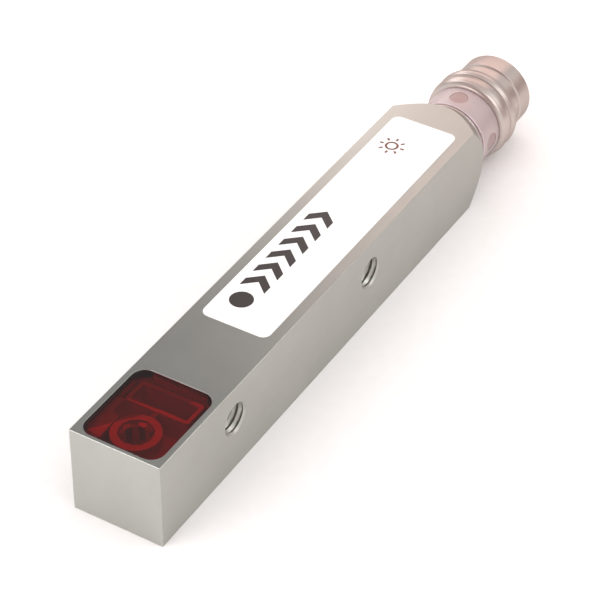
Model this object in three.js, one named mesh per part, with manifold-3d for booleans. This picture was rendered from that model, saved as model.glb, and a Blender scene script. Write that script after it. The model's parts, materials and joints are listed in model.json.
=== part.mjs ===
// A miniature photoelectric sensor: a square steel bar with a red optics window near one end of its top
// face, two threaded fixing holes across it, a ring of status lights and an M8 male plug at the other end.
//
// Millimetres, +Z up. X runs from the optics end to the plug and Y across the bar. The model is drawn with
// its front face at X = 0 and its underside at Z = 0, and is then centred on X, so that the origin is under
// the middle of the whole part.

import * as THREE from "three";
import { mergeVertices } from "three/addons/utils/BufferGeometryUtils.js";
import Module from "manifold-3d";

const wasm = await Module();
wasm.setup();

// ---------------------------------------------------------------------------------------------------------
// Driving dimensions
// ---------------------------------------------------------------------------------------------------------

// Clearances
const SLIP = 0.05; // round pieces that slide into each other, on the radius
const BOND = 0.02; // glued or moulded faces
const OVERCUT = 1; // how far a cutter runs past the face that it opens

// Square bar
const BAR = 8; // width and height
const SIDE_WALL = 0.5;
const ROOF = 0.6;
const COVER_THICKNESS = 0.6; // of the base cover that closes the underside
const FRONT_WALL = 0.75;
const END_WALL = 2.9; // solid bar between the cavity and the cone
const SHOULDER = 0.2; // how far the cavity narrows above the board, each side
const FLAT_LENGTH = 50.75; // front face to where the turned cone meets the middle of the flats
const CONE_RUN = 2.25; // the cone's length from the bar's corners to the middle of the flats

// Fixing holes, tapped M3 right through the bar
const HOLE_INSET = 10.15; // front face to the first hole
const HOLE_PITCH = 20.6;
const HOLE_DROP = 3.1; // below the top face
const HOLE_R = 1.25;
const HOLE_MOUTH_R = 1.55;
const HOLE_COUNTERSINK = 0.3;
const BOSS_WALL = 0.8; // metal around the hole where it crosses the cavity

// Window and its seal
const WINDOW_INSET = 0.3; // front face to the opening
const WINDOW_PAST_OPTICS = 1.07; // from the receiver's chamber to the opening's end
const WINDOW_RIM = 0.5; // metal left beside the opening
const WINDOW_CORNER_R = 1.2;
const WINDOW_SINK = 0.06; // below the top face
const SEAL_END = 0.06; // width of the seal across the opening's ends
const SEAL_SIDE = 0.17; // width of the seal along its sides
const SEAL_SINK = 0.1;

// Label
const LABEL_INSET = 16.15;
const LABEL_END_GAP = 1.15; // label to where the cone starts
const LABEL_WIDTH = 6.1;
const LABEL_CORNER_R = 0.7;
const LABEL_THICKNESS = 0.06;

// Main board, held against the cavity's shoulders by the rails of the base cover
const BOARD_GAP = 0.6; // cover to the board
const BOARD_THICKNESS = 0.6;
const BOARD_END_GAP = 0.3;
const RAIL_WIDTH = 0.45;

// Optics carrier
const CARRIER_END_GAP = 0.12;
const CARRIER_BASE = 3.6; // height of its solid lower half
const BARREL_INSET = 2.85; // front face to the emitter's axis
const BARREL_R = 2;
const BARREL_MOUTH_R = 1.4;
const BARREL_MOUTH_DEPTH = 0.45;
const BARREL_BORE_R = 1.15;
const CHAMBER_BACK_WALL = 0.45;
const CHAMBER_LENGTH = 1.68;
const CHAMBER_WIDTH = 5;
const CHAMBER_WALL = 0.36;
const CARRIER_SIDE_GAP = 0.05;
const LEDGE_WIDTH = 1.2; // of the full-height ledge on one side of the barrel
const STEP_DROP = 1.5; // of the low shelf on its other side
const STEP_LENGTH = 2.6;
const RIB_WIDTH = 0.4; // of the web from barrel to chamber

// Lenses
const LENS_DEPTH = 2.4; // below the carrier's top
const LENS_EDGE = 0.5;
const LENS_CROWN = 0.45;
const LENS_SEAT = 0.2; // how far a lens reaches into the carrier's wall

// Parts on the main board, along X, across it and upwards
const EMITTER = [1.6, 1.2, 0.7];
const RECEIVER = [1.4, 3.4, 0.8];
const CHIP = [4, 4, 0.85];
const RESONATOR = [2, 1.6, 0.6];
const REGULATOR = [2.9, 1.6, 1];
const TRANSISTOR = [2.9, 1.4, 1];
const SURGE_DIODE = [4.2, 2.6, 2];
const CAPACITOR = [1.6, 0.8, 0.8];
const RESISTOR = [1.6, 0.8, 0.45];

// Plug body, a turned steel shell
const TAIL_END_GAP = 0.46; // cavity's end to the end of the tail
const TAIL_R = 3.05;
const TAIL_WALL = 0.75;
const COLLAR_STEP = 0.35; // collar beyond the tail, on the radius
const COLLAR_LENGTH = 0.5;
const COLLAR_ROUND = 0.15;
const COLLAR_SHADOW = 0.15; // how far the bar's end face shows around the collar
const RING_SEAT_LENGTH = 2.9;
const RING_SEAT_R = 2.95;
const LIGHT_CHAMBER_R = 2.5;
const RIDGE_LENGTHS = [1.6, 1.2]; // two round ridges, Ø8, that the cable's socket locks on
const RIDGE_FOOT_R = 3.45;
const RIDGE_R = 3.98;
const RIDGE_LEAD_IN = 0.65; // the first ridge's slow rise
const RIDGE_FALL = 0.35; // the second ridge's drop into the neck
const VEE_R = 3.76; // bottom of the groove between the ridges
const VEE_HALF_WIDTH = 0.2;
const NECK_LENGTH = 1.5;
const NECK_R = 3.32;
const LIP_LENGTH = 1.82;
const LIP_R = 3.45;
const LIP_ROUND = 0.15;
const SOCKET_R = 2.85;
const CARRIER_FACE_DEPTH = 4.7; // plug rim to the contact carrier's face

// Bar seal
const GROOVE_BACK = 3.2; // collar to the groove
const GROOVE_WIDTH = 0.8;
const GROOVE_DEPTH = 0.4;

// Status light ring and its light pipes
const LIGHT_RING_R = 3.47;
const PIPE_R = 0.8;
const PIPE_SINK = 0.03;

// Light board and its four side-looking LEDs
const LIGHT_BOARD_BACK = 0.25; // collar's front to the board
const LIGHT_BOARD_THICKNESS = 0.5;
const LED = [1.5, 1.1, 0.45]; // along X, around the axis, outwards

// Contacts
const PIN_R = 0.5;
const PIN_TAIL_R = 0.35;
const PIN_CIRCLE_R = 1.45;
const PIN_ANGLES = { 1: -30, 3: 210, 4: 90 };
const PIN_TIP_BELOW_RIM = 0.8;
const CONTACT_CARRIER_LENGTH = 1.7;
const KEY_WIDTH = 0.9;
const KEY_HEIGHT = 0.35;
const KEY_BELOW_RIM = 0.9;

// Leads from the main board to the light board
const LEAD_R = 0.3;
const LEAD_SPACING = 1.5;
const LEAD_LANDING = 2.8; // main board's end to where the leads are soldered
const LEAD_FLAT = 0.6; // the soldered stretch
const LEAD_EASE = 0.4; // share of the bend that each end's handle takes up
const LEAD_SIDES = 8;
const LEAD_STEPS = 18;

// Resin around the leads
const RESIN_LENGTH = 3;
const RESIN_FRONT_GAP = 0.5; // to the light board

// Facets
const FINE = 64;
const ROUND = 32;
const SMALL = 16;
const CORNER_STEPS = 5;
const WELD = 1e-4;

// ---------------------------------------------------------------------------------------------------------
// Places worked out from the dimensions
// ---------------------------------------------------------------------------------------------------------

const AXIS_Z = BAR / 2;
const SEAT_Z = BAR - ROOF; // underside of the window
const POCKET_Y = BAR / 2 - SIDE_WALL; // the wide lower part of the cavity
const CAVITY_Y = POCKET_Y - SHOULDER; // the narrower part above the board
const CORNER_R = (BAR / 2) * Math.SQRT2;
const CONE_SLOPE = CONE_RUN / (CORNER_R - BAR / 2); // length per millimetre of radius
const TAIL_BORE_R = TAIL_R - TAIL_WALL;
const COLLAR_R = TAIL_R + COLLAR_STEP;
const CONE_END_R = COLLAR_R + COLLAR_SHADOW;
const COLLAR_X = FLAT_LENGTH + (BAR / 2 - CONE_END_R) * CONE_SLOPE;
const CAVITY_END_X = FLAT_LENGTH - CONE_RUN - END_WALL;
const BORE_R = TAIL_R + SLIP;
const BOSS_R = HOLE_R + BOSS_WALL;
const HOLE_XS = [HOLE_INSET, HOLE_INSET + HOLE_PITCH];
const HOLE_Z = BAR - HOLE_DROP;

const BOARD_Z = COVER_THICKNESS + BOARD_GAP;
const BOARD_TOP_Z = BOARD_Z + BOARD_THICKNESS;
const BOARD_START_X = FRONT_WALL + BOARD_END_GAP;
const BOARD_END_X = CAVITY_END_X - BOARD_END_GAP;
const BOARD_Y = POCKET_Y - SLIP;

const CARRIER_X = [FRONT_WALL + CARRIER_END_GAP, HOLE_INSET - BOSS_R - CARRIER_END_GAP];
const CARRIER_BASE_Z = BOARD_TOP_Z + CARRIER_BASE;
const CHAMBER_END_X = CARRIER_X[1] - CHAMBER_BACK_WALL;
const CHAMBER_START_X = CHAMBER_END_X - CHAMBER_LENGTH;
const CHAMBER_X = (CHAMBER_START_X + CHAMBER_END_X) / 2;
const WINDOW_X = [WINDOW_INSET, CHAMBER_END_X + WINDOW_PAST_OPTICS];
const LENS_Z = SEAT_Z - LENS_DEPTH;

const RING_X = COLLAR_X + COLLAR_LENGTH;
const RIDGE_X = RING_X + RING_SEAT_LENGTH;
const VEE_X = RIDGE_X + RIDGE_LENGTHS[0];
const NECK_X = VEE_X + RIDGE_LENGTHS[1];
const LIP_X = NECK_X + NECK_LENGTH;
const RIM_X = LIP_X + LIP_LENGTH;
const TAIL_X = CAVITY_END_X + TAIL_END_GAP;
const PIPE_X = RING_X + RING_SEAT_LENGTH / 2;
const CONTACT_FACE_X = RIM_X - CARRIER_FACE_DEPTH;
const CONTACT_BACK_X = CONTACT_FACE_X - CONTACT_CARRIER_LENGTH;
const LIGHT_BOARD_X = RING_X - LIGHT_BOARD_BACK;
const LIGHT_BOARD_FRONT_X = LIGHT_BOARD_X + LIGHT_BOARD_THICKNESS;
const RESIN_X = LIGHT_BOARD_X - RESIN_FRONT_GAP - RESIN_LENGTH;

// ---------------------------------------------------------------------------------------------------------
// Shapes
// ---------------------------------------------------------------------------------------------------------

// A closed geometry as a solid that can be cut and joined.
function solid(geometry) {
  const bare = geometry.clone();
  bare.deleteAttribute("normal");
  bare.deleteAttribute("uv");
  const welded = mergeVertices(bare, WELD);
  const index = welded.index.array;
  const triVerts = [];
  for (let i = 0; i < index.length; i += 3) {
    const [a, b, c] = index.slice(i, i + 3);
    if (a !== b && b !== c && c !== a) triVerts.push(a, b, c);
  }
  const mesh = new wasm.Mesh({
    numProp: 3,
    vertProperties: welded.attributes.position.array,
    triVerts: new Uint32Array(triVerts),
  });
  return new wasm.Manifold(mesh);
}

// A solid as a flat-shaded geometry.
function geometryOf(body) {
  const { vertProperties, triVerts } = body.getMesh();
  const indexed = new THREE.BufferGeometry();
  indexed.setAttribute("position", new THREE.BufferAttribute(vertProperties, 3));
  indexed.setIndex(new THREE.BufferAttribute(triVerts, 1));
  const geometry = indexed.toNonIndexed();
  geometry.computeVertexNormals();
  return geometry;
}

function cut(body, ...tools) {
  return tools.reduce((left, tool) => left.subtract(solid(tool)), body);
}

function join(body, ...others) {
  return others.reduce((whole, other) => whole.add(solid(other)), body);
}

// A box between its low and high corners.
function block(low, high) {
  const size = high.map((value, axis) => value - low[axis]);
  const centre = high.map((value, axis) => (value + low[axis]) / 2);
  return new THREE.BoxGeometry(...size).translate(...centre);
}

// A box of a given size that stands on the origin.
function chip([length, width, height]) {
  return new THREE.BoxGeometry(length, width, height).translate(0, 0, height / 2);
}

// A rounded rectangle in X and Y, between two heights.
function slab(xs, ys, zs, radius) {
  const [x0, x1] = xs;
  const [y0, y1] = ys;
  const shape = new THREE.Shape();
  shape.absarc(x1 - radius, y0 + radius, radius, -Math.PI / 2, 0);
  shape.absarc(x1 - radius, y1 - radius, radius, 0, Math.PI / 2);
  shape.absarc(x0 + radius, y1 - radius, radius, Math.PI / 2, Math.PI);
  shape.absarc(x0 + radius, y0 + radius, radius, Math.PI, Math.PI * 1.5);
  const options = { depth: zs[1] - zs[0], bevelEnabled: false, curveSegments: CORNER_STEPS };
  return new THREE.ExtrudeGeometry(shape, options).translate(0, 0, zs[0]);
}

// A body turned about the plug's axis. Its outline is a list of [x, radius], with X rising.
function turned(outline, segments = FINE) {
  const points = outline.map(([x, radius]) => new THREE.Vector2(radius, x));
  const geometry = new THREE.LatheGeometry(points, segments);
  return geometry.rotateZ(-Math.PI / 2).translate(0, 0, AXIS_Z);
}

// A plain rod on a line parallel to X.
function rod(x0, x1, radius, segments, y = 0, z = AXIS_Z) {
  const geometry = new THREE.CylinderGeometry(radius, radius, x1 - x0, segments);
  return geometry.rotateZ(-Math.PI / 2).translate((x0 + x1) / 2, y, z);
}

// A rod across the bar, or a cone if its two radii differ.
function crossRod(x, z, y0, y1, radius0, radius1 = radius0) {
  const geometry = new THREE.CylinderGeometry(radius1, radius0, y1 - y0, ROUND);
  return geometry.translate(x, (y0 + y1) / 2, z);
}

// An upright rod.
function post(x, y, z0, z1, radius, segments = ROUND) {
  const geometry = new THREE.CylinderGeometry(radius, radius, z1 - z0, segments);
  return geometry.rotateX(Math.PI / 2).translate(x, y, (z0 + z1) / 2);
}

// A point on the contacts' circle, as [y, z].
function pinPlace(angle) {
  const turn = THREE.MathUtils.degToRad(angle);
  return [PIN_CIRCLE_R * Math.cos(turn), AXIS_Z + PIN_CIRCLE_R * Math.sin(turn)];
}

// The round end of a turned edge, from its side to its face.
function roundEdge(x, radius, round, towards) {
  const steps = [0, 1, 2, 3].map((step) => (step / 3) * (Math.PI / 2));
  const points = steps.map((a) => [
    x - towards * round * (1 - Math.sin(a)),
    radius - round * (1 - Math.cos(a)),
  ]);
  return towards > 0 ? points : points.reverse();
}

// A quarter-elliptic flank of a ridge, rising from a low radius or falling to it.
function flank(x, run, low, rising) {
  const rise = RIDGE_R - low;
  const turns = [0, 1, 2, 3, 4].map((step) => (step / 4) * (Math.PI / 2));
  return turns.map((a) =>
    rising
      ? [x + run * (1 - Math.cos(a)), low + rise * Math.sin(a)]
      : [x + run * Math.sin(a), low + rise * Math.cos(a)],
  );
}

// ---------------------------------------------------------------------------------------------------------
// Materials
// ---------------------------------------------------------------------------------------------------------

function finish(color, roughness, metalness = 0, opacity = 1) {
  return new THREE.MeshStandardMaterial({
    color,
    roughness,
    metalness,
    opacity,
    transparent: opacity < 1,
  });
}

const satinSteel = finish(0xb4b1aa, 0.45, 1);
const plugSteel = finish(0xc4b8b0, 0.3, 1);
const redPane = finish(0x5a1410, 0.08, 0, 0.6);
const blackRubber = finish(0x141414, 0.7);
const labelFilm = finish(0xf4f4f2, 0.5);
const blackPlastic = finish(0x1c1a1a, 0.6);
const clearLens = finish(0xe8eef0, 0.05, 0, 0.5);
const ledPlastic = finish(0xe8e4d8, 0.4);
const sensorGlass = finish(0x2a2a3a, 0.1);
const boardGreen = finish(0x1e5a34, 0.5);
const epoxyBlack = finish(0x202022, 0.55);
const metalCan = finish(0xb8b8b4, 0.3, 1);
const ceramicTan = finish(0xb09068, 0.5);
const resistorBlack = finish(0x262420, 0.5);
const frostedPlastic = finish(0xd8c4c8, 0.55, 0, 0.85);
const pipePlastic = finish(0xa88080, 0.3, 0, 0.85);
const goldPlate = finish(0xd8b25a, 0.25, 1);
const amberResin = finish(0x3a3028, 0.4);
const leadCover = { brown: finish(0x6a4426, 0.5), blue: finish(0x2a4c9a, 0.5), black: finish(0x1a1a1a, 0.5) };

// ---------------------------------------------------------------------------------------------------------
// Bar, window and label
// ---------------------------------------------------------------------------------------------------------

// Rounded outline of the window opening, taken in by a gap at its ends and at its sides.
function windowOutline(zs, endGap, sideGap) {
  const halfWidth = BAR / 2 - WINDOW_RIM - sideGap;
  const xs = [WINDOW_X[0] + endGap, WINDOW_X[1] - endGap];
  return slab(xs, [-halfWidth, halfWidth], zs, WINDOW_CORNER_R);
}

function housing() {
  const bar = solid(block([0, -BAR / 2, 0], [COLLAR_X, BAR / 2, BAR]));
  const wideR = CORNER_R + OVERCUT;
  const cone = turned([
    [-OVERCUT, 0],
    [-OVERCUT, wideR],
    [COLLAR_X - (wideR - CONE_END_R) * CONE_SLOPE, wideR],
    [COLLAR_X, CONE_END_R],
    [COLLAR_X, 0],
  ]);
  const cavity = block([FRONT_WALL, -CAVITY_Y, 0], [CAVITY_END_X, CAVITY_Y, SEAT_Z]);
  const pocket = block([FRONT_WALL, -POCKET_Y, -OVERCUT], [CAVITY_END_X, POCKET_Y, BOARD_TOP_Z]);
  const opening = windowOutline([SEAT_Z, BAR + OVERCUT], 0, 0);
  const bore = rod(CAVITY_END_X - OVERCUT, COLLAR_X + OVERCUT, BORE_R, FINE);
  let body = cut(bar.intersect(solid(cone)), cavity, pocket, opening, bore);
  for (const x of HOLE_XS) {
    body = join(body, crossRod(x, HOLE_Z, -BAR / 2 + BOND, BAR / 2 - BOND, BOSS_R));
  }
  for (const x of HOLE_XS) {
    const mouth = BAR / 2 - HOLE_COUNTERSINK;
    body = cut(
      body,
      crossRod(x, HOLE_Z, -BAR / 2 - OVERCUT, BAR / 2 + OVERCUT, HOLE_R),
      crossRod(x, HOLE_Z, mouth, BAR / 2, HOLE_R, HOLE_MOUTH_R),
      crossRod(x, HOLE_Z, -BAR / 2, -mouth, HOLE_MOUTH_R, HOLE_R),
    );
  }
  return geometryOf(body);
}

// A plate, flush with the underside, with a rail along each edge that carries the main board.
function baseCover() {
  const [x0, x1] = [FRONT_WALL + BOND, CAVITY_END_X - BOND];
  const y = POCKET_Y - BOND;
  const plate = solid(block([x0, -y, 0], [x1, y, BOARD_Z]));
  const trough = y - RAIL_WIDTH;
  const between = block([x0 - OVERCUT, -trough, COVER_THICKNESS], [x1 + OVERCUT, trough, BAR]);
  return geometryOf(cut(plate, between));
}

function windowPane() {
  return windowOutline([SEAT_Z, BAR - WINDOW_SINK], SEAL_END, SEAL_SIDE);
}

function windowSeal() {
  const zs = [SEAT_Z, BAR - SEAL_SINK];
  const inner = [SEAT_Z - OVERCUT, BAR + OVERCUT];
  const ring = solid(windowOutline(zs, BOND, BOND));
  return geometryOf(cut(ring, windowOutline(inner, SEAL_END - BOND, SEAL_SIDE - BOND)));
}

function label() {
  const xs = [LABEL_INSET, FLAT_LENGTH - CONE_RUN - LABEL_END_GAP];
  const ys = [-LABEL_WIDTH / 2, LABEL_WIDTH / 2];
  return slab(xs, ys, [BAR, BAR + LABEL_THICKNESS], LABEL_CORNER_R);
}

// ---------------------------------------------------------------------------------------------------------
// Optics
// ---------------------------------------------------------------------------------------------------------

function opticsCarrier() {
  const [x0, x1] = CARRIER_X;
  const halfWidth = CAVITY_Y - CARRIER_SIDE_GAP;
  const base = solid(block([x0, -halfWidth, BOARD_TOP_Z], [x1, halfWidth, CARRIER_BASE_Z]));
  const wallX = CHAMBER_START_X - CHAMBER_WALL;
  const wallY = CHAMBER_WIDTH / 2 + CHAMBER_WALL;
  const low = CARRIER_BASE_Z - BOND;
  const whole = join(
    base,
    post(BARREL_INSET, 0, low, SEAT_Z, BARREL_R, ROUND),
    block([wallX, -wallY, low], [x1, wallY, SEAT_Z]),
    block([x0, halfWidth - LEDGE_WIDTH, low], [wallX + BOND, halfWidth, SEAT_Z]),
    block([x0, -halfWidth, low], [x0 + STEP_LENGTH, BARREL_R - halfWidth, SEAT_Z - STEP_DROP]),
    block([BARREL_INSET, -RIB_WIDTH / 2, low], [wallX + BOND, RIB_WIDTH / 2, SEAT_Z]),
  );
  const mouthZ = SEAT_Z - BARREL_MOUTH_DEPTH;
  const chamberY = CHAMBER_WIDTH / 2;
  const lensHalf = [CHAMBER_LENGTH / 2 + LENS_SEAT, chamberY + LENS_SEAT];
  const slotZ = [LENS_Z - LENS_EDGE - BOND, LENS_Z + BOND];
  const below = BOARD_TOP_Z - OVERCUT;
  const bored = cut(
    whole,
    post(BARREL_INSET, 0, below, SEAT_Z + OVERCUT, BARREL_BORE_R),
    post(BARREL_INSET, 0, mouthZ, SEAT_Z + OVERCUT, BARREL_MOUTH_R),
    post(BARREL_INSET, 0, ...slotZ, BARREL_BORE_R + LENS_SEAT + BOND),
    block([CHAMBER_START_X, -chamberY, below], [CHAMBER_END_X, chamberY, SEAT_Z + OVERCUT]),
    block(
      [CHAMBER_X - lensHalf[0] - BOND, -lensHalf[1] - BOND, slotZ[0]],
      [CHAMBER_X + lensHalf[0] + BOND, lensHalf[1] + BOND, slotZ[1]],
    ),
  );
  return geometryOf(bored);
}

// A round lens with a flat foot and a domed crown that starts inside its seat.
function emitterLens() {
  const outline = [[0, -LENS_EDGE], [BARREL_BORE_R + LENS_SEAT, -LENS_EDGE], [BARREL_BORE_R + LENS_SEAT, 0]];
  const domeR = BARREL_BORE_R - SLIP;
  for (let i = 0; i <= CORNER_STEPS; i += 1) {
    const turn = (i / CORNER_STEPS) * (Math.PI / 2);
    outline.push([i === CORNER_STEPS ? 0 : domeR * Math.cos(turn), LENS_CROWN * Math.sin(turn)]);
  }
  const points = outline.map(([radius, height]) => new THREE.Vector2(radius, height));
  return new THREE.LatheGeometry(points, ROUND).rotateX(Math.PI / 2);
}

// A long lens, crowned across its width, that fills the receiver's chamber.
function receiverLens() {
  const half = CHAMBER_LENGTH / 2 - SLIP;
  const foot = CHAMBER_LENGTH / 2 + LENS_SEAT;
  const shape = new THREE.Shape();
  shape.moveTo(-foot, -LENS_EDGE);
  shape.lineTo(foot, -LENS_EDGE);
  shape.lineTo(foot, 0);
  shape.lineTo(half, 0);
  shape.absellipse(0, 0, half, LENS_CROWN, 0, Math.PI);
  shape.lineTo(-foot, 0);
  const width = CHAMBER_WIDTH + LENS_SEAT * 2;
  const options = { depth: width, bevelEnabled: false, curveSegments: SMALL / 2 };
  const bar = new THREE.ExtrudeGeometry(shape, options).rotateX(Math.PI / 2).translate(0, width / 2, 0);
  const end = CHAMBER_WIDTH / 2 - SLIP;
  const sides = [-1, 1].map((side) => {
    const ys = [side * end, side * (end + OVERCUT)].sort((a, b) => a - b);
    return block([-foot, ys[0], 0], [foot, ys[1], LENS_CROWN + OVERCUT]);
  });
  return geometryOf(cut(solid(bar), ...sides));
}

// ---------------------------------------------------------------------------------------------------------
// Plug
// ---------------------------------------------------------------------------------------------------------

function plugShell() {
  const grooveX = COLLAR_X - GROOVE_BACK;
  const grooveR = TAIL_R - GROOVE_DEPTH;
  const outer = solid(
    turned([
      [TAIL_X, 0],
      [TAIL_X, TAIL_R],
      [grooveX, TAIL_R],
      [grooveX, grooveR],
      [grooveX + GROOVE_WIDTH, grooveR],
      [grooveX + GROOVE_WIDTH, TAIL_R],
      [COLLAR_X, TAIL_R],
      ...roundEdge(COLLAR_X, COLLAR_R, COLLAR_ROUND, -1),
      ...roundEdge(RING_X, COLLAR_R, COLLAR_ROUND, 1),
      [RING_X, RING_SEAT_R],
      [RIDGE_X, RING_SEAT_R],
      [RIDGE_X, RIDGE_FOOT_R],
      ...flank(RIDGE_X, RIDGE_LEAD_IN, RIDGE_FOOT_R, true).slice(1),
      ...flank(VEE_X - VEE_HALF_WIDTH, VEE_HALF_WIDTH, VEE_R, false),
      ...flank(VEE_X, VEE_HALF_WIDTH, VEE_R, true).slice(1),
      ...flank(NECK_X - RIDGE_FALL, RIDGE_FALL, NECK_R, false),
      [LIP_X - (LIP_R - NECK_R), NECK_R],
      [LIP_X, LIP_R],
      ...roundEdge(RIM_X, LIP_R, LIP_ROUND, 1),
      [RIM_X, 0],
    ]),
  );
  const chamberX = COLLAR_X + COLLAR_ROUND;
  const bored = cut(
    outer,
    rod(TAIL_X - OVERCUT, RING_X, TAIL_BORE_R, ROUND),
    rod(chamberX, CONTACT_BACK_X + OVERCUT, LIGHT_CHAMBER_R, ROUND),
    rod(CONTACT_BACK_X, RIM_X + OVERCUT, SOCKET_R, FINE),
    crossRod(PIPE_X, AXIS_Z, -TAIL_R, TAIL_R, PIPE_R + BOND),
    post(PIPE_X, 0, AXIS_Z - TAIL_R, AXIS_Z + TAIL_R, PIPE_R + BOND),
  );
  return geometryOf(bored);
}

function barSeal() {
  const section = (TAIL_R + SLIP - (TAIL_R - GROOVE_DEPTH)) / 2;
  const geometry = new THREE.TorusGeometry(TAIL_R - GROOVE_DEPTH + section, section - BOND, 10, FINE);
  return geometry.rotateY(Math.PI / 2);
}

function lightRing() {
  const tube = solid(rod(RING_X + BOND, RIDGE_X - BOND, LIGHT_RING_R, FINE));
  const reach = LIGHT_RING_R + OVERCUT;
  const ring = cut(
    tube,
    rod(RING_X - OVERCUT, RIDGE_X + OVERCUT, RING_SEAT_R + BOND, FINE),
    crossRod(PIPE_X, AXIS_Z, -reach, reach, PIPE_R + BOND),
    post(PIPE_X, 0, AXIS_Z - reach, AXIS_Z + reach, PIPE_R + BOND),
  );
  return geometryOf(ring);
}

// One light pipe, drawn upright over the plug's axis, with its ends curved as the ring and its seat are.
function lightPipe() {
  const upright = solid(post(0, 0, 0, LIGHT_RING_R + OVERCUT, PIPE_R));
  const outside = rod(-BAR, BAR, LIGHT_RING_R - PIPE_SINK, FINE, 0, 0);
  const inside = rod(-BAR, BAR, LIGHT_CHAMBER_R + SLIP, ROUND, 0, 0);
  return geometryOf(cut(upright.intersect(solid(outside)), inside));
}

function lightBoard() {
  const disc = solid(rod(0, LIGHT_BOARD_THICKNESS, LIGHT_CHAMBER_R - SLIP, ROUND, 0, AXIS_Z));
  const holes = Object.values(PIN_ANGLES).map((angle) => {
    const [y, z] = pinPlace(angle);
    return rod(-OVERCUT, OVERCUT, PIN_TAIL_R + SLIP, SMALL, y, z);
  });
  return geometryOf(cut(disc, ...holes));
}

function contactCarrier() {
  const puck = solid(rod(CONTACT_BACK_X, CONTACT_FACE_X, SOCKET_R - SLIP, FINE));
  const wall = SOCKET_R - SLIP;
  const inside = Math.sqrt(wall ** 2 - (KEY_WIDTH / 2) ** 2) - BOND;
  const key = block(
    [CONTACT_FACE_X - BOND, -KEY_WIDTH / 2, AXIS_Z - inside],
    [RIM_X - KEY_BELOW_RIM, KEY_WIDTH / 2, AXIS_Z - inside + KEY_HEIGHT],
  );
  const holes = Object.values(PIN_ANGLES).map((angle) => {
    const [y, z] = pinPlace(angle);
    return rod(CONTACT_BACK_X - OVERCUT, CONTACT_FACE_X + OVERCUT, PIN_R + BOND, SMALL, y, z);
  });
  return geometryOf(cut(join(puck, key), ...holes));
}

// A contact pin on its own axis, from its thin soldered tail to its round tip.
function contactPin() {
  const tipX = RIM_X - PIN_TIP_BELOW_RIM;
  const outline = [
    [LIGHT_BOARD_X + BOND, 0],
    [LIGHT_BOARD_X + BOND, PIN_TAIL_R],
    [CONTACT_BACK_X, PIN_TAIL_R],
    [CONTACT_BACK_X, PIN_R],
    [tipX - PIN_R, PIN_R],
    [tipX - PIN_R * 0.4, PIN_R * 0.8],
    [tipX, PIN_R * 0.4],
    [tipX, 0],
  ];
  return turned(outline, SMALL).translate(0, 0, -AXIS_Z);
}

// The route of a lead: flat on its pad, an easy bend into the shell, and straight on to the light board.
function leadRoute(padY, [y, z]) {
  const padX = BOARD_END_X - LEAD_LANDING;
  const padZ = BOARD_TOP_Z + LEAD_R + BOND;
  const pad = new THREE.Vector3(padX, padY, padZ);
  const bend = new THREE.Vector3(padX + LEAD_FLAT, padY, padZ);
  const straight = new THREE.Vector3(TAIL_X - SLIP, y, z);
  const end = new THREE.Vector3(LIGHT_BOARD_X - SLIP, y, z);
  const handle = new THREE.Vector3((straight.x - bend.x) * LEAD_EASE, 0, 0);
  const path = new THREE.CurvePath();
  path.add(new THREE.LineCurve3(pad, bend));
  path.add(new THREE.CubicBezierCurve3(bend, bend.clone().add(handle), straight.clone().sub(handle), straight));
  path.add(new THREE.LineCurve3(straight, end));
  return path;
}

function lead(padY, place) {
  const shape = new THREE.Shape();
  shape.absarc(0, 0, LEAD_R, 0, Math.PI * 2);
  return new THREE.ExtrudeGeometry(shape, {
    extrudePath: leadRoute(padY, place),
    steps: LEAD_STEPS,
    curveSegments: LEAD_SIDES / 2,
    bevelEnabled: false,
  });
}

function resinPlug() {
  const plug = solid(rod(RESIN_X, RESIN_X + RESIN_LENGTH, TAIL_BORE_R - SLIP, ROUND));
  const holes = Object.values(PIN_ANGLES).map((angle) => {
    const [y, z] = pinPlace(angle);
    return rod(RESIN_X - OVERCUT, RESIN_X + RESIN_LENGTH + OVERCUT, LEAD_R + SLIP, SMALL, y, z);
  });
  return geometryOf(cut(plug, ...holes));
}

// ---------------------------------------------------------------------------------------------------------
// Assembly
// ---------------------------------------------------------------------------------------------------------

function piece(name, geometry, material, x = 0, y = 0, z = 0) {
  const mesh = new THREE.Mesh(geometry, material);
  mesh.name = name;
  mesh.position.set(x, y, z);
  return mesh;
}

function bodyPieces() {
  const group = new THREE.Group();
  group.add(piece("housing", housing(), satinSteel));
  group.add(piece("base_cover", baseCover(), satinSteel));
  group.add(piece("window", windowPane(), redPane));
  group.add(piece("window_seal", windowSeal(), blackRubber));
  group.add(piece("label", label(), labelFilm));
  return group;
}

function opticsPieces() {
  const group = new THREE.Group();
  group.add(piece("optics_carrier", opticsCarrier(), blackPlastic));
  group.add(piece("emitter_lens", emitterLens(), clearLens, BARREL_INSET, 0, LENS_Z));
  group.add(piece("receiver_lens", receiverLens(), clearLens, CHAMBER_X, 0, LENS_Z));
  return group;
}

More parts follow.
